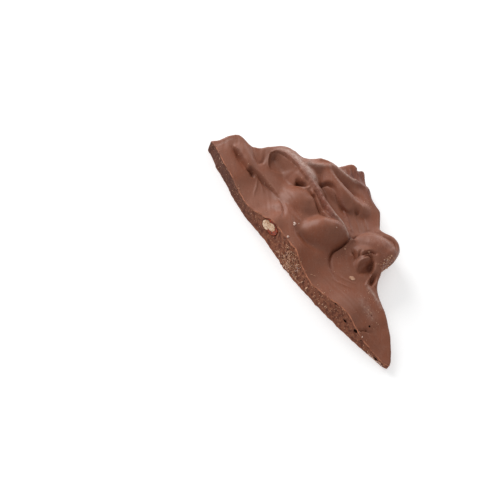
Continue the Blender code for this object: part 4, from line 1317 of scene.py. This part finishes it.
def makeCrumbs():
    piece = startLumps("chocolateCrumbs")
    for _ in range(crumbs["count"]):
        addLump(onFace(between(crumbs["along"]), between(crumbs["rise"])), between(crumbs["size"]))
    low, high = crumbs["coarseAlong"]
    for _ in range(crumbs["coarseCount"]):
        x = min(max(draw.gauss(*crumbs["coarseMiddle"]), low), high)
        addLump(onFace(x, between(crumbs["coarseRise"])), between(crumbs["coarseSize"]), (1.5, 0.34, 0.34))
    for _ in range(crumbs["tipCount"]):
        place = onFace(between(crumbs["tipAlong"]), between(crumbs["tipRise"]))
        addLump(place, between(crumbs["tipSize"]))
    for _ in range(crumbs["lipCount"]):
        x = between(crumbs["lipAlong"])
        place = onTop(x, float(faceAt(x, crumbs["lipHeight"])) + between(crumbs["lipBehind"]))
        addLump(place, between(crumbs["lipSize"]))
    for _ in range(crumbs["lobeCount"]):
        origin = (outside["right"], between(crumbs["lobeBehind"]), between(crumbs["lobeRise"]))
        addLump(landOn(origin, (-1, 0, 0)), between(crumbs["lobeSize"]), (1.3, 0.6, 0.5))
        place = onTop(between(crumbs["lobeAlong"]), draw.gauss(*crumbs["lobeMiddle"]))
        addLump(place, between(crumbs["lobeSize"]), (1.3, 0.6, 0.5))
    for x, y, reach, count in patches:
        for _ in range(count):
            place = onTop(x + draw.gauss(0, reach / 2), y + draw.gauss(0, reach / 2))
            addLump(place, between(crumbs["speckSize"]), (1.0, 0.9, 0.5), (0.0, 0.0, anyTurn()))
    for x, z, length in flakes:
        turn = (between(crumbs["longFlakeTurn"]), 0.24, 0.0)
        addLump(onFace(x, z), length / 2, (0.26, 0.3, 1.0), turn)
    for x, y, radius, flatness in tanSpecks:
        addLump(onTop(x, y), radius, (1.1, 0.8, flatness), (0.0, 0.0, 0.7))
    for x, y, length in strokeChips:
        addLump(onTop(x, y), length / 2, (1.0, 0.35, 0.3), (0.0, 0.0, 0.6))
    for _ in range(crumbs["flakeCount"]):
        place = onFace(between(crumbs["flakeAlong"]), between(crumbs["flakeRise"]))
        size = between(crumbs["flakeSize"])
        addLump(place, size, (0.2, 0.26, 1.0), (0.0, between(crumbs["flakeTurn"]), 0.0))
    finishLumps(piece, crumbFinish)
    print("crumbs:", len(piece.data.polygons), "faces")


specks = {
    # x, y, radius, flatness
    "placed": [
        (50.4, 0.8, 0.8, 0.4), (50.9, 0.1, 0.5, 0.5), (53.9, -5.2, 0.62, 0.8), (51.2, 2.4, 0.26, 0.7),
        (101.2, -4.0, 0.4, 0.8), (61.3, 12.2, 0.3, 0.7),
    ],
    "tipSize": (0.14, 0.34), "tipCount": 34, "tipAlong": (106.5, 113.4), "tipRise": (0.1, 1.0),
    "shredSize": (0.24, 0.5), "shredCount": 46, "shredMiddle": (60.8, 2.3), "shredRise": (0.8, 7.0),
    "lobeShredCount": 16, "lobeAlong": (80.6, 82.6), "lobeMiddle": (23.2, 1.5),
}


def makePaleSpecks():
    piece = startLumps("paleSpecks")
    for x, y, radius, flatness in specks["placed"]:
        addLump(onTop(x, y), radius, (1.0, 0.8, flatness), (0.0, 0.0, anyTurn()))
    for _ in range(specks["tipCount"]):
        place = onFace(between(specks["tipAlong"]), between(specks["tipRise"]))
        addLump(place, between(specks["tipSize"]))
    for _ in range(specks["shredCount"]):
        place = onFace(draw.gauss(*specks["shredMiddle"]), between(specks["shredRise"]))
        addLump(place, between(specks["shredSize"]), (1.5, 0.32, 0.32))
    for _ in range(specks["lobeShredCount"]):
        place = onTop(between(specks["lobeAlong"]), draw.gauss(*specks["lobeMiddle"]))
        addLump(place, between(specks["shredSize"]), (1.4, 0.5, 0.4))
    finishLumps(piece, paleFinish)


def makeCrumbFinish(name, dark, light, shade):
    finish = Finish(name, Specular_IOR_Level=0.25)
    broad = finish.noise(2.0, 2.0)
    fine = finish.noise(0.4, 2.0)
    body = finish.mix(broad.step(0.4, 0.6), dark, light)
    body = finish.mix(fine.step(0.5, 0.7) * 0.6, body, shade)
    finish.feed("Base Color", body)
    finish.feed("Roughness", 0.6 + 0.2 * fine)
    return finish.material


crumbFinish = makeCrumbFinish(
    "chocolateCrumb", dark=colour(174, 124, 98), light=colour(210, 166, 138), shade=colour(148, 98, 74)
)
paleFinish = makeCrumbFinish(
    "paleSpeck", dark=colour(204, 168, 152), light=colour(226, 200, 188), shade=colour(182, 136, 118)
)
makeCrumbs()
makePaleSpecks()


# camera, light and floor
view = {
    "elevation": 52.0,  # degrees above the plane that the piece lies on
    "azimuth": 32.9,
    "roll": 24.0,
    "distance": 620.0,
    "pixelsToMillimetre": 2.5,
    "cornerPixel": (208.9, 148.7),  # where the blunt end's front corner shows in the picture
    "frameSize": 480,
    "sensor": 36,
}


def makeCamera():
    elevation, azimuth, roll = (math.radians(view[k]) for k in ("elevation", "azimuth", "roll"))
    back = Vector((math.sin(azimuth), -math.cos(azimuth), 0)) * math.cos(elevation)
    back.z = math.sin(elevation)
    level = Vector((math.cos(azimuth), math.sin(azimuth), 0))
    rise = back.cross(level)
    right = level * math.cos(roll) + rise * math.sin(roll)
    up = rise * math.cos(roll) - level * math.sin(roll)
    half = view["frameSize"] / 2
    across = (view["cornerPixel"][0] - half) / view["pixelsToMillimetre"]
    down = (view["cornerPixel"][1] - half) / view["pixelsToMillimetre"]
    corner = Vector(toFrame([[0, 0, 0]])[0])
    place = corner + (back * view["distance"] - right * across + up * down) * millimetre
    data = bpy.data.cameras.new("camera")
    data.sensor_width = view["sensor"]
    data.lens = view["sensor"] * view["distance"] * view["pixelsToMillimetre"] / view["frameSize"]
    data.clip_start = 0.01
    camera = bpy.data.objects.new("camera", data)
    scene.collection.objects.link(camera)
    turned = Matrix((right, up, back)).transposed().to_4x4()
    camera.matrix_world = Matrix.Translation(place) @ turned
    scene.camera = camera
    return right, up, back


viewRight, viewUp, viewBack = makeCamera()

lamps = {
    "windowLight": dict(way=(-0.5, 1.0, 0.05), distance=1.6, size=0.96, power=20.4),
    "backLight": dict(way=(0.6, 1.0, -0.5), distance=1.0, size=0.67, power=3.3),
    "frontFill": dict(way=(0.1, 0.2, 1.2), distance=0.8, size=0.7, power=0.55),
}
studio = {"target": (0.0, 0.0, 0.006), "world": 0.4, "floorSize": 3, "floorGlow": 0.42}


def makeLamps():
    target = Vector(studio["target"])
    for name, lamp in lamps.items():
        right, up, back = lamp["way"]
        way = (viewRight * right + viewUp * up + viewBack * back).normalized()
        data = bpy.data.lights.new(name, "AREA")
        data.size = lamp["size"]
        data.energy = lamp["power"]
        light = bpy.data.objects.new(name, data)
        scene.collection.objects.link(light)
        light.location = target + way * lamp["distance"]
        light.rotation_euler = (-way).to_track_quat("-Z", "Y").to_euler()
    world = bpy.data.worlds.new("studio")
    scene.world = world
    world.use_nodes = True
    background = world.node_tree.nodes["Background"]
    background.inputs["Color"].default_value = (1, 1, 1, 1)
    background.inputs["Strength"].default_value = studio["world"]


makeLamps()
scene.view_settings.view_transform = "Standard"

bpy.ops.mesh.primitive_plane_add(size=studio["floorSize"], location=(0, 0, -0.0001))
floor = bpy.context.object
floor.name = "floor"
paper = Finish("paleFloor", 0.8, Base_Color=(0.82, 0.82, 0.82, 1))
paper.shader.inputs["Emission Color"].default_value = (1, 1, 1, 1)
paper.shader.inputs["Emission Strength"].default_value = studio["floorGlow"]
floor.data.materials.append(paper.material)
floor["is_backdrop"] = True

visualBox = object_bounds()
for name, box in (("cad", cadBox), ("visual", visualBox)):
    print(name, "size in millimetres:", np.round(np.array(box[1] - box[0]) / millimetre, 2))
